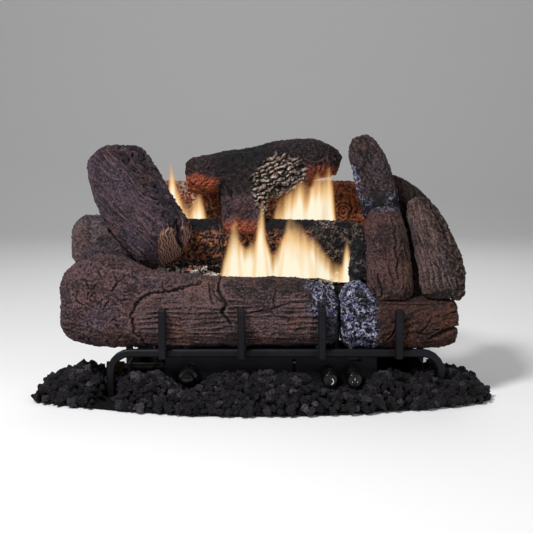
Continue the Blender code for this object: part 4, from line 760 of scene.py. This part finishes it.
def branch_log():
    s = Carving("branch_log", (1, 0, 0.50), 1.6)
    outline = [(-14, 330), (-20, 350), (-18, 374), (-6, 394), (10, 406), (28, 413), (50, 414), (66, 404),
               (77, 388), (80, 370), (62, 356), (42, 345), (24, 333), (8, 318), (-2, 300), (-8, 312)]
    plates = s.patch(outline, 6, 5)
    stub = step(344, 336, s.z - (s.x + 60) * 0.1) * step(4, -6, s.x) * step(90, 76, s.y)
    rust = s.border(378, 366, s.z, 16, 66, 8) * step(-74, -84, s.x)
    tip = stub * s.border(302, 284, s.z, 10, 67, 8)
    middle = s.border(-92, -76, s.x, 18, 68, 8) * s.border(26, 0, s.x, 18, 69, 8) * (1 - stub)
    right = s.border(70, 84, s.x, 12, 70, 8)
    s.lumps(42, 2.8, 61)
    s.lumps(16, 1.4, 75)
    s.fibres(22, 7, 1.1, 62, 1 - plates, 6)
    s.fibres(20, 4.5, 1.4, 63, rust, 3)
    s.crackle(16, 2.6, (1 - plates) * (1 - stub) * (1 - rust), 64, 0.0, 0.0, 2.8)
    s.nicks(14, 12, 2.4, 3.4, 78, middle * (1 - plates), 0.7)
    s.add("char", middle * 0.62 * (1 - plates))
    s.add("char", step(394, 408, s.z - s.x * 0.10 + s.wander(20, 76) * 8) * 0.5 * (1 - plates))
    row = (s.z - s.x * 0.42 + s.wander(16, 65, 2) * 9.5) / 9.5
    part = row - np.floor(row)
    along = s.x / 15.0 + s.wander(10, 66, 2) * 1.2 + np.floor(row) * 0.37
    across = np.abs(along - np.floor(along) - 0.5)
    chip = step(0.0, 0.20, part) * step(0.95, 0.45, part) * step(0.50, 0.30, across)
    s.height += (chip - 0.5) * 5.0 * plates
    s.add("char", plates * 0.85)
    s.add("crack", (1 - chip) * plates * 0.8)
    s.add("ash", plates * step(0.25, 0.75, chip) * step(-0.55, 0.15, s.wander(8, 67, 2)))
    s.vein([(0, 312), (12, 326), (34, 340), (58, 354), (78, 368)], 3.0, 1.2, 2.5, 0.9, "ash")
    s.ledges(6.5, 2.4, 64, np.maximum(rust, tip), 1.6, 26, (0.85, 0, -0.4), 1.0)
    s.add("singe", rust * s.clouds(-0.9, -0.2, 8, 72))
    s.add("singe", tip * s.clouds(-0.8, -0.1, 7, 73))
    s.add("second", stub)
    s.add("singe", right * s.border(398, 384, s.z, 14, 77, 6) * 0.5)
    s.dent((-60, 45, 346), 9, 9, "crack")
    s.gash([(-66, 356), (-60, 344), (-55, 336)], 4.0, 6)
    s.nicks(16, 9, 1.6, 2.0, 78, 1 - plates, 0.4)
    s.weather(79, 0.45, 0.75)
    palette = ((18, 12, 13), (44, 32, 36), (54, 35, 30), (46, 37, 47))
    grey = ((36, 25, 27), (82, 60, 66), (92, 60, 54), (72, 58, 70))
    s.dress(palette, grey, pale=(140, 104, 98), ash=WARM_ASH, singed=(222, 114, 76))


def right_top_log():
    s = Carving("right_top_log", (0.42, -0.25, -0.86), 1.5)
    tip = step(358, 334, s.z + s.wander(12, 101, 2) * 22) * s.front
    left = step(10, 3, s.x - np.interp(s.z, [340, 352, 369, 390, 407, 440], [167, 168, 164, 157, 152, 152]))
    s.lumps(36, 2.4, 102)
    s.ledges(11, 2.0, 103, 1 - tip, 1.9, 26, (0.86, 0, 0.42), 0.25)
    s.fibres(18, 5, 1.3, 105, 1 - tip, 6)
    s.nicks(14, 15, 2.2, 3.2, 104, 1 - tip, 0.6, 0.03, 1.4)
    s.nicks(9, 7, 1.6, 2.2, 109, 1 - tip, 0.5, 0.03, 0.6)
    s.lumps(7, 1.4, 110)
    s.add("ash", left * step(348, 356, s.z) * step(404, 392, s.z) * s.clouds(-0.2, 0.3, 8, 106) * 0.8)
    s.crackle(10, 2.4, tip, 107, 0.75 * s.clouds(-0.2, 0.6, 13, 120), 0.9, 4.2, 0.8)
    s.weather(108, 0.5, 0.8)
    palette = ((24, 17, 18), (66, 50, 54), (76, 52, 44), (50, 44, 54))
    s.dress(palette, pale=(120, 102, 98))


def right_rear_log():
    s = Carving("right_rear_log", (0.35, 0, -0.93), 1.8)
    s.lumps(36, 2.2, 111)
    s.ledges(9, 2.2, 112, 1.0, 1.3, 40, (0.9, 0, 0.35), 0.4)
    s.nicks(14, 15, 2.2, 3.2, 113, 1.0, 0.6, 0.03, 1.4)
    s.weather(114, 0.4, 0.8)
    s.dress(DARK, pale=(84, 66, 56))


def right_inner_log():
    s = Carving("right_inner_log", (0.28, -0.5, -0.82), 1.5)
    side = step(-2, 3, s.x - np.interp(s.z, [170, 213, 234, 254, 270, 289, 303, 330],
                                       [241, 237, 238, 233, 236, 235, 229, 222]) + s.wander(8, 81) * 2)
    s.lumps(36, 2.0, 82)
    s.fibres(20, 8, 0.9, 83, 1 - side, 9, 14)
    s.lumps(7, 1.1, 84)
    s.nicks(22, 24, 1.8, 2.8, 85, 1 - side, 0.55, 0.02, 1.5)
    s.nicks(12, 9, 1.4, 1.6, 91, 1 - side, 0.5, 0.02, 1.0)
    s.ledges(7, 1.8, 90, 1 - side, 1.9, 22, (0.9, 0.1, 0.45), 0.55)
    s.ledges(6, 2.0, 86, side, 1.3, 40, (0.9, 0.1, 0.25), 0.35)
    s.height -= side * 1.6
    s.add("second", side)
    seam = [(222, 305), (228, 289), (226, 278), (230, 268), (226, 254), (231, 234), (228, 222), (232, 208)]
    s.gash(seam, 2.6, 4, 2.0, 0.2)
    s.gash([(196, 214), (199, 200), (203, 188), (203, 176)], 3.0, 5)
    s.gash([(188, 192), (192, 180), (190, 170)], 2.2, 3)
    s.gash([(214, 232), (218, 214), (224, 196)], 2.4, 3.4)
    s.gash([(206, 262), (212, 248), (210, 236)], 2.0, 2.6)
    s.weather(87, 0.4, 0.75)
    s.crackle(10, 1.0, s.border(310, 320, s.z, 10, 88, 6) * 0.8, 89, 0.4, 0.5, 4.0)
    s.height += step(186, 182, s.x) * step(262, 270, s.z) * step(302, 296, s.z) * 2.6
    palette = ((42, 28, 30), (84, 60, 61), (86, 57, 55), (68, 52, 60))
    strip = ((36, 24, 20), (84, 62, 52), (100, 70, 50), (58, 45, 43))
    s.dress(palette, strip, pale=(124, 92, 80))


def right_outer_log():
    s = Carving("right_outer_log", (-0.30, 0.36, 0.88), 1.5)
    edge = np.interp(s.z, [165, 196, 221, 253, 294, 316, 335], [322, 320, 318, 308, 292, 280, 268])
    bark = step(-2, 5, s.x - edge + s.wander(14, 98) * 6)
    base = step(190, 182, s.z - (s.x - 300) * 0.28 + s.wander(10, 99) * 3)
    s.lumps(38, 2.4, 91)
    streak = (1 - bark) * (1 - base)
    s.ledges(9, 2.6, 92, streak, 1.2, 60, (0.95, 0, 0.30), 0.8)
    s.ledges(5.0, 1.5, 93, streak, 1.4, 30, (0.95, 0, 0.30), 0.6)
    s.nicks(16, 18, 2.0, 3.4, 97, streak, 0.6, 0.01, 2.5)
    s.ledges(13, 3.4, 94, bark, 1.9, 24, (0.8, 0, 0.6), 0.2)
    s.lumps(12, 2.8, 96, bark)
    s.nicks(11, 11, 2.4, 3.2, 100, bark, 0.7, 0.03, 1.0)
    s.add("second", np.maximum(bark, base))
    s.height -= base * 1.5
    s.gash([(292, 326), (302, 306), (312, 288), (318, 262)], 3.4, 5)
    s.weather(95, 0.5, 0.8)
    palette = ((42, 31, 32), (92, 71, 71), (92, 68, 60), (72, 60, 71))
    rough = ((28, 18, 17), (62, 44, 41), (76, 49, 41), (54, 41, 43))
    s.dress(palette, rough, pale=(138, 116, 106))


def charred_stub():
    s = Carving("charred_stub", (0, 0.4, 0.9), 1.4)
    s.lumps(24, 2.0, 121)
    s.crackle(11, 3.0, np.ones(s.count), 123, 0.5 * s.clouds(-0.2, 0.6, 11, 125), 1.0, 4.0, 0.8)
    s.lumps(4.2, 1.7, 124)
    s.dress(DARK, ash=((96, 78, 84), (206, 188, 190)))


# Lava rock

STONE_REACH = 1.25  # how far a stone's tips may go, in its radius
STONE_GAP = 0.0015
FLAT_SIDES = 6
LOOK = 0.05  # how far round a stone other solids are looked for


def rock_material():
    material, tree, shader = new_material("lava_rock_pitted", (44, 39, 43), 0.92, specular=0.25)
    place = place_vector(tree)
    tone = mark(tree, "tone")
    fine = noise(tree, place, 320, 4, 0.65)
    grit = noise(tree, place, 900, 2, 0.6)
    colour = mix(tree, ramp(tree, tone, 0.0, 0.55), (9, 8, 10), (36, 33, 39))
    colour = mix(tree, ramp(tree, tone, 0.55, 1.0), colour, (82, 77, 86))
    warm = ramp(tree, noise(tree, place, 60, 2, 0.5), 0.54, 0.66, 0, 0.5)
    colour = mix(tree, warm, colour, (56, 43, 43))
    colour = brighten(tree, colour, ramp(tree, fine, 0.34, 0.66, 0.40, 1.45))
    holes = node(tree, "TexVoronoi", {"Vector": place, "Scale": 420.0}, feature="F1").outputs["Distance"]
    # pits darkened: painted shade
    colour = mix(tree, ramp(tree, holes, 0.30, 0.16, 0, 0.75), colour, (8, 7, 8))
    # near black where the tone is below zero, on the heap under the stones: painted shade between them
    colour = mix(tree, ramp(tree, tone, -0.05, -0.15), colour, (4, 3, 4))
    rough = plus(tree, plus(tree, fine, grit), ramp(tree, holes, 0.14, 0.34))
    finish_shader(tree, shader, colour, rough, 0.0030)
    return material


def bed_base(name, material):
    """The heap under the loose stones, a little shrunk and lumpy, and near black: painted shade in the gaps
    between the stones.
    """
    s = Carving(name, voxel=3.0, rounds=3)
    s.height -= 4.5
    s.lumps(13, 2.6, 131)
    # a tone below zero paints it near black: painted shade
    s.marks["tone"] = np.full(s.count, -0.2)
    s.finish(material, 0.0)


def scatter(name, count, gap, seed):
    """Points on the upper side of a heap, kept apart."""
    mesh = frame["nodes"][name].data
    mesh.calc_loop_triangles()
    corners = np.array([[mesh.vertices[i].co for i in t.vertices] for t in mesh.loop_triangles])
    across = np.cross(corners[:, 1] - corners[:, 0], corners[:, 2] - corners[:, 0])
    size = np.linalg.norm(across, axis=1)
    up = across[:, 2] / np.maximum(size, 1e-12)
    share = np.where(up > 0.12, size, 0)
    rng = np.random.default_rng(seed)
    kept = np.zeros((0, 3))
    for which in rng.choice(len(share), count * 12, p=share / share.sum()):
        a, b = np.sort(rng.uniform(size=2))
        spot = corners[which].T @ np.array([a, b - a, 1 - b])
        if len(kept) == count:
            break
        if len(kept) == 0 or np.min(np.linalg.norm(kept - spot, axis=1)) > gap:
            kept = np.vstack((kept, spot))
    return kept, rng


def stones(label, bed, spots, rng, small, large, lift, material, blockers=None):
    """Loose stones as one piece, each with its own flat sides, pits, turn and radius from small to large."""
    bm = bmesh.new()
    bmesh.ops.create_icosphere(bm, subdivisions=3, radius=1.0)
    ball = np.array([v.co for v in bm.verts])
    faces = np.array([[v.index for v in f.verts] for f in bm.faces])
    bm.free()
    points, triangles, tones = [], [], []
    for spot in spots:
        radius = rng.uniform(small, large) * MM
        centre = spot + np.array([0, 0, radius * lift])
        hit = blockers.find_nearest(Vector(centre), LOOK) if blockers else (None,)
        if hit[0] is not None and hit[3] < radius * STONE_REACH + STONE_GAP:
            radius = (hit[3] - STONE_GAP) / STONE_REACH
            if radius < small * 0.6 * MM:
                continue
        p = ball.copy()
        for _ in range(FLAT_SIDES):
            way = rng.normal(size=3)
            way /= np.linalg.norm(way)
            over = np.maximum(p @ way - rng.uniform(0.50, 0.86), 0)
            p -= over[:, None] * way * 0.95
        rough = 0.30 * soft_noise(p * 1.5 + spot * 900, 3) + 0.30 * soft_noise(p * 3.2 + spot * 700, 4)
        p *= (1 + rough + rng.normal(0, 0.07, size=len(p)))[:, None]
        p *= rng.uniform(0.74, 1.22, size=3)
        p *= min(1, STONE_REACH / np.linalg.norm(p, axis=1).max())
        turn = np.linalg.qr(rng.normal(size=(3, 3)))[0]
        p = p @ turn * radius + centre
        p[:, 2] += max(0, 0.0004 - p[:, 2].min())
        triangles.append(faces + len(points) * len(ball))
        points.append(p)
        tones.append(np.full(len(ball), np.clip(rng.normal(0.45, 0.24), 0, 1)))
    marks = {"tone": np.concatenate(tones)}
    obj = add_faces(label, np.concatenate(points), np.concatenate(triangles), marks, material)
    obj.data.shade_flat()
    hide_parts(bed)


def beside_leg(spots, room):
    """Which spots leave the grate's left front leg in view."""
    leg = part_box("front_rail")[0]
    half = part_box("grate_finger_1")[1].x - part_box("grate_finger_1")[0].x
    before = (np.abs(spots[:, 0] - leg.x - half / 2) < room) & (spots[:, 1] < leg.y)
    return ~before


def lava_rock():
    material = rock_material()
    blockers = tree_of([name for name in all_nodes if not name.startswith("lava_rock")])
    for bed, large_count, small_count, seed in (
        ("lava_rock_front", 560, 420, 5), ("lava_rock_left", 110, 80, 6), ("lava_rock_right", 110, 80, 7),
    ):
        bed_base(bed, material)
        for label, count, gap, seed, room, small, large, lift in (
            ("stones", large_count, 0.0105, seed, 0.017, 6.5, 11.0, 0.15),
            ("chips", small_count, 0.0075, seed + 20, 0.011, 3.8, 7.0, 0.35),
        ):
            spots, rng = scatter(bed, count, gap, seed)
            spots = spots[beside_leg(spots, room)]
            stones(f"{bed}_{label}", bed, spots, rng, small, large, lift, material, blockers)


# Embers and flames

def ember_material():
    """Rock wool: dark and furry, ash on its crests, a dull glow deep in its cracks."""
    material, tree, shader = new_material("ember_wool_glowing", (60, 52, 50), 0.95, specular=0.2)
    place = place_vector(tree)
    fine = noise(tree, place, 300, 4, 0.7)
    broad = noise(tree, place, 85, 3, 0.6)
    colour = mix(tree, ramp(tree, fine, 0.35, 0.65), (16, 13, 13), (70, 60, 58))
    ash = times(tree, ramp(tree, broad, 0.44, 0.54), ramp(tree, fine, 0.40, 0.52))
    glow = ramp(tree, noise(tree, place, 130, 3, 0.6), 0.40, 0.32)
    shader.inputs["Emission Color"].default_value = paint((235, 96, 26))
    tree.links.new(times(tree, glow, 0.30), shader.inputs["Emission Strength"])
    finish_shader(tree, shader, mix(tree, ash, colour, (226, 214, 204)), fine, 0.0025)
    return material


def ember_bed():
    """The tufts over the front burner, and loose cinders along them up to the diagonal log."""
    material = ember_material()
    s = Carving("ember_bed", voxel=1.5, rounds=3)
    s.height -= 2.0
    s.lumps(16, 3.0, 141)
    s.fibres(18, 5, 1.4, 142, 1.0, 6, 12)
    s.lumps(5, 1.6, 143)
    s.finish(material)
    rng = np.random.default_rng(31)
    bed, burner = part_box("ember_bed"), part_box("front_burner")[1]
    front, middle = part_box("front_log")[1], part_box("middle_log")[0]
    heaps = [
        (-0.206, bed[0].x, front.y + 0.006, middle.y + 0.018, middle.z - 0.012, middle.z + 0.004),
        (bed[0].x, -0.098, bed[0].y + 0.004, middle.y + 0.020, bed[1].z - 0.005, bed[1].z + 0.001),
        (bed[1].x + 0.003, 0.158, middle.y + 0.004, middle.y + 0.024, burner.z + 0.004, bed[1].z - 0.010),
    ]
    spots = []
    for left, right, near, far, low, high in heaps:
        across = np.arange(left, right, 0.0052)
        back, up = np.arange(near, far, 0.0066), np.arange(low, high + 0.001, 0.0066)
        spots += [(x, y, z + (y - near) * 0.12) for x, y, z in itertools.product(across, back, up)]
    spots = np.array(spots) + rng.uniform(-0.0018, 0.0018, size=(len(spots), 3))
    stones("loose_cinders", "ember_bed", spots, rng, 3.0, 5.2, 0, material)


def flame_material():
    """Glow that thins out at the edges: near white in the middle, tan and orange where it is thin."""
    material, tree, shader = new_material("flame_glow", (0, 0, 0), 1, specular=0)
    glow = mark(tree, "glow")
    colour = mix(tree, ramp(tree, glow, 0.0, 0.25), (206, 112, 48), (230, 164, 100))
    colour = mix(tree, ramp(tree, glow, 0.25, 0.66), colour, (253, 208, 146))
    colour = mix(tree, ramp(tree, glow, 0.60, 0.96), colour, (255, 247, 220))
    tree.links.new(colour, shader.inputs["Emission Color"])
    shader.inputs["Emission Strength"].default_value = 1.0
    tree.links.new(mark(tree, "body"), shader.inputs["Alpha"])
    return material


FLAME_ROWS = 61


def curtain(name, tips, floor, lean, thick, material, seed, fade=60.0, strength=0.92, rim=0.26):
    """A thin closed flame, in millimetres. Tips are its upper outline and floor its lower one, from left to
    right, and lean gives its depth at heights. It thins out over a stretch, fade, below its tips, and rim is
    the least that it glows."""
    left, right = tips[0][0], tips[-1][0]
    columns = np.arange(left, right + 0.01, 1.0)[:, None]
    bottom = np.interp(columns, *zip(*floor))
    tops = np.interp(columns, *zip(*tips))
    z = bottom + np.maximum(tops - bottom, 0.5) * np.linspace(0, 1, FLAME_ROWS)
    x = np.repeat(columns, FLAME_ROWS, 1)
    middle = np.interp(z, *zip(*lean))
    q = np.stack((x.ravel() / 34, z.ravel() / 60, np.full(x.size, seed * 3.1)), 1)
    middle = middle + soft_noise(q, seed).reshape(x.shape) * 2.5
    q = np.stack((x.ravel() / 12, z.ravel() / 120, np.full(x.size, seed * 1.7)), 1)
    streak = rough_noise(q, 2, seed + 1).reshape(x.shape)
    edge = path_distance(x.ravel(), z.ravel(), tips)[0].reshape(x.shape)
    edge = np.minimum(edge, np.minimum(x - left, right - x) * 1.3)
    below = tops - z + streak * 12
    glow = step(-2, 14, edge) * (0.2 + 0.8 * step(0, fade * 1.1, below)) * (0.95 + streak * 0.4)
    glow = rim + (1 - rim) * glow
    body = step(0, 10, edge) * (0.16 + 0.88 * step(0, fade * 0.9, below)) * (0.95 + streak * 0.5) * strength
    swell = thick * step(0, 10, edge) + 0.05
    sides = [np.stack((x, middle + away * swell, z), 2).reshape(-1, 3) * MM for away in (-1, 1)]
    grid = np.arange(x.size).reshape(x.shape)
    front = np.stack((grid[:-1, :-1], grid[1:, :-1], grid[1:, 1:], grid[:-1, 1:]), 2).reshape(-1, 4)
    around = np.concatenate((grid[:, 0], grid[-1, 1:], grid[-2::-1, -1], grid[0, -2:0:-1]))
    ahead = np.roll(around, -1)
    hem = np.stack((ahead, around, around + x.size, ahead + x.size), 1)
    faces = np.concatenate((front, front[:, ::-1] + x.size, hem))
    marks = {"glow": glow, "body": body}
    marks = {key: np.tile(np.clip(values, 0, 1).ravel(), 2) for key, values in marks.items()}
    add_faces(name, np.concatenate(sides), faces, marks, material).data.shade_smooth()


def flames():
    """A low curtain over the front burner, four tongues before it, and two curtains over the rear burner."""
    upright = [(186, 2), (198, -6), (210, -4), (240, 6), (300, 12), (340, 16)]
    ahead = [(z, y - 6) for z, y in upright]
    rear = [(250, 112), (305, 104), (330, 96), (420, 92)]
    leaning = [(250, 112), (304, 100), (322, 78), (345, 54), (395, 46)]
    front_floor, rear_floor = [(100, 198), (128, 190)], [(0, 262)]
    material = flame_material()
    for seed, (name, tips, floor, lean, thick, *rest) in enumerate((
        ("front", [(-77, 200), (-74, 222), (-68, 248), (-60, 270), (-50, 276), (-39, 266), (-28, 254),
                   (-18, 264), (-8, 288), (3, 288), (10, 264), (19, 244), (29, 264), (42, 286), (58, 290),
                   (72, 284), (86, 274), (100, 264), (113, 246), (126, 230), (140, 224), (152, 222),
                   (164, 200)], front_floor, upright, 2.0, 48, 0.82, 0.34),
        ("front_left", [(-70, 200), (-67, 246), (-60, 284), (-51, 306), (-43, 300), (-37, 268), (-33, 232),
                        (-30, 200)], front_floor, ahead, 1.5, 100, 0.55, 0.42),
        ("front_tall", [(-22, 200), (-18, 248), (-12, 290), (-7, 322), (-1, 344), (4, 330), (7, 300),
                        (10, 262), (14, 228), (17, 200)], front_floor, ahead, 1.5, 100, 0.72, 0.42),
        ("front_right", [(24, 200), (29, 248), (36, 288), (45, 310), (54, 312), (62, 298), (71, 294),
                         (79, 282), (86, 258), (94, 230), (102, 200)],
         front_floor, ahead, 1.5, 100, 0.58, 0.42),
        ("front_small", [(130, 190), (135, 216), (140, 242), (145, 264), (150, 274), (154, 266), (158, 244),
                         (162, 214), (165, 190)], front_floor, ahead, 1.5, 50, 0.8, 0.42),
        ("rear_left", [(-200, 290), (-197, 318), (-192, 342), (-187, 366), (-183, 352), (-180, 330),
                       (-176, 356), (-173, 390), (-170, 418), (-165, 400), (-158, 372), (-151, 346),
                       (-143, 324), (-137, 320), (-129, 332), (-119, 344), (-110, 340), (-104, 314),
                       (-100, 286)], rear_floor, rear, 3.0, 60),
        ("rear_right", [(12, 268), (17, 300), (24, 328), (34, 340), (46, 350), (58, 360), (70, 370),
                        (79, 364), (86, 360), (93, 380), (101, 388), (107, 376), (113, 388), (120, 400),
                        (126, 384), (131, 352), (136, 316), (141, 286), (144, 268)],
         rear_floor, leaning, 3.0, 72),
    ), 1):
        curtain(f"flame_{name}", tips, floor, lean, thick, material, seed, *rest)


# Steel, brass and plastic of the base

def stained(name, dark, light, roughness, metallic=0.0, dust=(70, 64, 66), dusty=0.5, scale=24.0,
            grain=0.0004, specular=0.5):
    """A worn finish: two tones in broad patches, fine grain, uneven gloss, and dust on what faces up."""
    material, tree, shader = new_material(name, light, roughness, metallic, specular)
    place = place_vector(tree)
    fine = noise(tree, place, 420, 4, 0.7)
    broad = noise(tree, place, scale, 4, 0.65, 0.6)
    colour = mix(tree, ramp(tree, broad, 0.38, 0.62), dark, light)
    colour = brighten(tree, colour, ramp(tree, fine, 0.3, 0.7, 0.75, 1.25))
    facing = node(tree, "SeparateXYZ", {0: node(tree, "NewGeometry").outputs["Normal"]}).outputs["Z"]
    settled = times(tree, ramp(tree, facing, 0.35, 0.95, 0.0, dusty), ramp(tree, fine, 0.40, 0.62))
    tree.links.new(ramp(tree, fine, 0.3, 0.7, roughness - 0.10, roughness + 0.16), shader.inputs["Roughness"])
    finish_shader(tree, shader, mix(tree, settled, colour, dust), fine, grain, 0.6)
    return material


def sleeve_material():
    """Braided glass sleeve of the igniter's lead."""
    material, tree, shader = new_material("lead_sleeve_braided", (168, 74, 30), 0.7)
    place = place_vector(tree, turn=(0.5, 0.6, 0.8))
    checks = node(tree, "TexChecker", {"Vector": place, "Scale": 1500.0}).outputs["Fac"]
    finish_shader(tree, shader, mix(tree, checks, (168, 74, 30), (120, 48, 18)), checks, 0.0002, 0.8)
    return material


def base_finishes():
    """Gives each solid that stays in view its own finish, by the record's material slots."""
    black = stained("grate_black", (6, 6, 10), (14, 15, 24), 0.46, dust=(36, 35, 42), dusty=0.35,
                    specular=0.22)
    panel = stained("panel_dark", (14, 13, 19), (25, 24, 32), 0.52, scale=14.0, specular=0.3)
    finishes = {
        "grate_steel": black,
        "panel_steel": panel,
        "burner_steel": stained("burner_sooty", (22, 19, 19), (64, 55, 50), 0.50, 0.7, scale=40.0),
        "brass": stained("brass_dull", (84, 60, 30), (138, 104, 56), 0.40, 0.9),
        "valve_alloy": stained("alloy_cast", (58, 58, 61), (98, 98, 101), 0.45, 0.8, scale=60.0,
                               grain=0.0008),
        "knob_plastic": stained("knob_black", (4, 4, 5), (8, 8, 9), 0.16, dusty=0.05, grain=0.0001,
                                specular=0.3),
        "electrode_ceramic": stained("electrode_white", (168, 160, 150), (216, 210, 200), 0.35,
                                     dust=(60, 54, 50)),
        "lead_sleeve": sleeve_material(),
    }
    for part in frame["record"]["subparts"]:
        finish = finishes.get(part["material_slot"])
        if finish:
            for place in frame["nodes"][part["node"]].material_slots:
                place.material = finish
    return finishes


def turned(name, over, body, finish, profile, sides, flute=0.0, angle=40):
    """A round piece over a solid that faces the front. Each ring of its profile says the share of the
    solid's length from its back, what is added to that and what is added to its radius, in millimetres.
    Flutes press in every other pair of points, but for the first and last rings."""
    low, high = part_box(over)
    x, z, radius = (low.x + high.x) / 2, (low.z + high.z) / 2, (high.x - low.x) / 2
    bm = bmesh.new()
    rings = []
    for k, (share, along, wider) in enumerate(profile):
        y = high.y - share * (high.y - low.y) - along * MM
        ring = []
        for i in range(sides):
            turn = 2 * math.pi * i / sides
            pressed = flute if i % 4 in (1, 2) and 0 < k < len(profile) - 1 else 0
            reach = radius + (wider - pressed) * MM
            ring.append(bm.verts.new((x + reach * math.cos(turn), y, z + reach * math.sin(turn))))
        rings.append(ring)
    for near, far in zip(rings, rings[1:]):
        for i in range(sides):
            j = (i + 1) % sides
            bm.faces.new((near[i], near[j], far[j], far[i]))
    bm.faces.new(rings[0][::-1])
    bm.faces.new(rings[-1])
    add_detail(name, bm, finish, body, angle)


def add_detail(name, bm, finish, body, angle=40):
    bmesh.ops.recalc_face_normals(bm, faces=bm.faces)
    obj = add_shape(name, bm)
    obj.data.shade_smooth()
    obj.data.set_sharp_from_angle(angle=math.radians(angle))
    obj.data.materials.append(finish)
    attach(obj, body)


def knobs(finish):
    """Fluted skirts and domed caps on the two knobs, and a collar and cap on the igniter."""
    black = finish["knob_plastic"]
    skirt = [(0, 2, -1), (0, 4, 1), (0.62, 0, 0.6), (0.70, 0, -0.8)]
    cap = [(1, -6.2, -0.9), (1, -3.2, -1.0), (1, -1.6, -2.4), (1, -1.2, -4.2), (1, -1.8, -5.8)]
    for knob, body in (("gas_control_knob", "gas_knob"), ("flame_height_knob", "flame_knob")):
        turned(f"{knob}_skirt", knob, body, black, skirt, 72, 0.9)
        turned(f"{knob}_cap", knob, body, black, cap, 48)
    collar = [(1, -4, -0.2), (1, -2.5, 0.8), (1, -0.3, 0.6), (1, 0.3, -1.2)]
    turned("igniter_collar", "igniter_body", "root", black, collar, 40)
    dome = [(1, -4, -0.4), (1, -1.6, -1.0), (1, -0.2, -3.2), (1, 0.7, -6.2), (1, 1.0, -9.0)]
    turned("igniter_cap", "igniter_button", "igniter_push_button", black, dome, 40, angle=60)


def knob_face(name):
    """Where the painted highlights of a knob lie: just before the middle of its cap."""
    low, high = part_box(name)
    return Vector(((low.x + high.x) / 2, low.y - 0.0011, (low.z + high.z) / 2))


def knob_highlights():
    """A white arc on the gas knob's face, and a white bar with two dots on the flame knob's: painted
    highlights where the knobs catch the light.
    """
    white = new_material("knob_painted_highlight", (214, 214, 216), 0.4)[0]
    face = knob_face("gas_control_knob")
    bm = bmesh.new()
    sections = []
    for turn in range(-70, 61, 10):
        way = Vector((math.cos(math.radians(turn)), 0, math.sin(math.radians(turn))))
        corners = ((0.0046, 0), (0.0046, 0.0006), (0.0060, 0.0006), (0.0060, 0))
        section = [face + way * radius + Vector((0, along, 0)) for radius, along in corners]
        sections.append([bm.verts.new(point) for point in section])
    for near, far in zip(sections, sections[1:]):
        for i in range(4):
            bm.faces.new((near[i - 1], near[i], far[i], far[i - 1]))
    bm.faces.new(sections[0])
    bm.faces.new(sections[-1][::-1])
    add_detail("gas_knob_highlight_arc", bm, white, "gas_knob")
    face = knob_face("flame_height_knob")
    bm = bmesh.new()
    for across, up, wide, tall in ((0, 0.0034, 0.0009, 0.0036), (-0.0042, -0.0012, 0.0012, 0.0012),
                                   (0.0042, -0.0012, 0.0012, 0.0012)):
        made = bmesh.ops.create_cube(bm, size=1.0)
        bmesh.ops.scale(bm, verts=made["verts"], vec=Vector((wide, 0.0006, tall)))
        bmesh.ops.translate(bm, verts=made["verts"], vec=face + Vector((across, 0.0003, up)))
    add_detail("flame_knob_glints", bm, white, "flame_knob")


def welds(finish):
    """Lumpy beads where the fingers and the bars meet the rails."""
    bm = bmesh.new()
    rng = np.random.default_rng(17)
    for number in (1, 2, 3, 4):
        low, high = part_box(f"grate_finger_{number}")
        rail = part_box("front_rail")[0].y
        for x in (low.x - 0.0004, high.x + 0.0004):
            for z in np.arange(low.z + 0.0015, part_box(f"grate_bar_{number}")[1].z - 0.001, 0.0017):
                made = bmesh.ops.create_icosphere(bm, subdivisions=2, radius=0.0019)
                centre = Vector((x, rail - 0.0002, z)) + Vector(rng.normal(0, 0.0002, size=3))
                bmesh.ops.scale(bm, verts=made["verts"], vec=Vector((1.0, 0.8, 0.75)))
                bmesh.ops.translate(bm, verts=made["verts"], vec=centre)
    add_detail("grate_welds", bm, finish["grate_steel"], "root", 80)


make_camera()
make_light()
make_ground()
for carve in (front_log, corner_log, middle_log, rear_log, left_diagonal_log, branch_log, right_top_log,
              right_rear_log, right_inner_log, right_outer_log, charred_stub):
    carve()
lava_rock()
ember_bed()
flames()
finish = base_finishes()
knobs(finish)
knob_highlights()
welds(finish)

bpy.context.scene.view_settings.view_transform = "Standard"
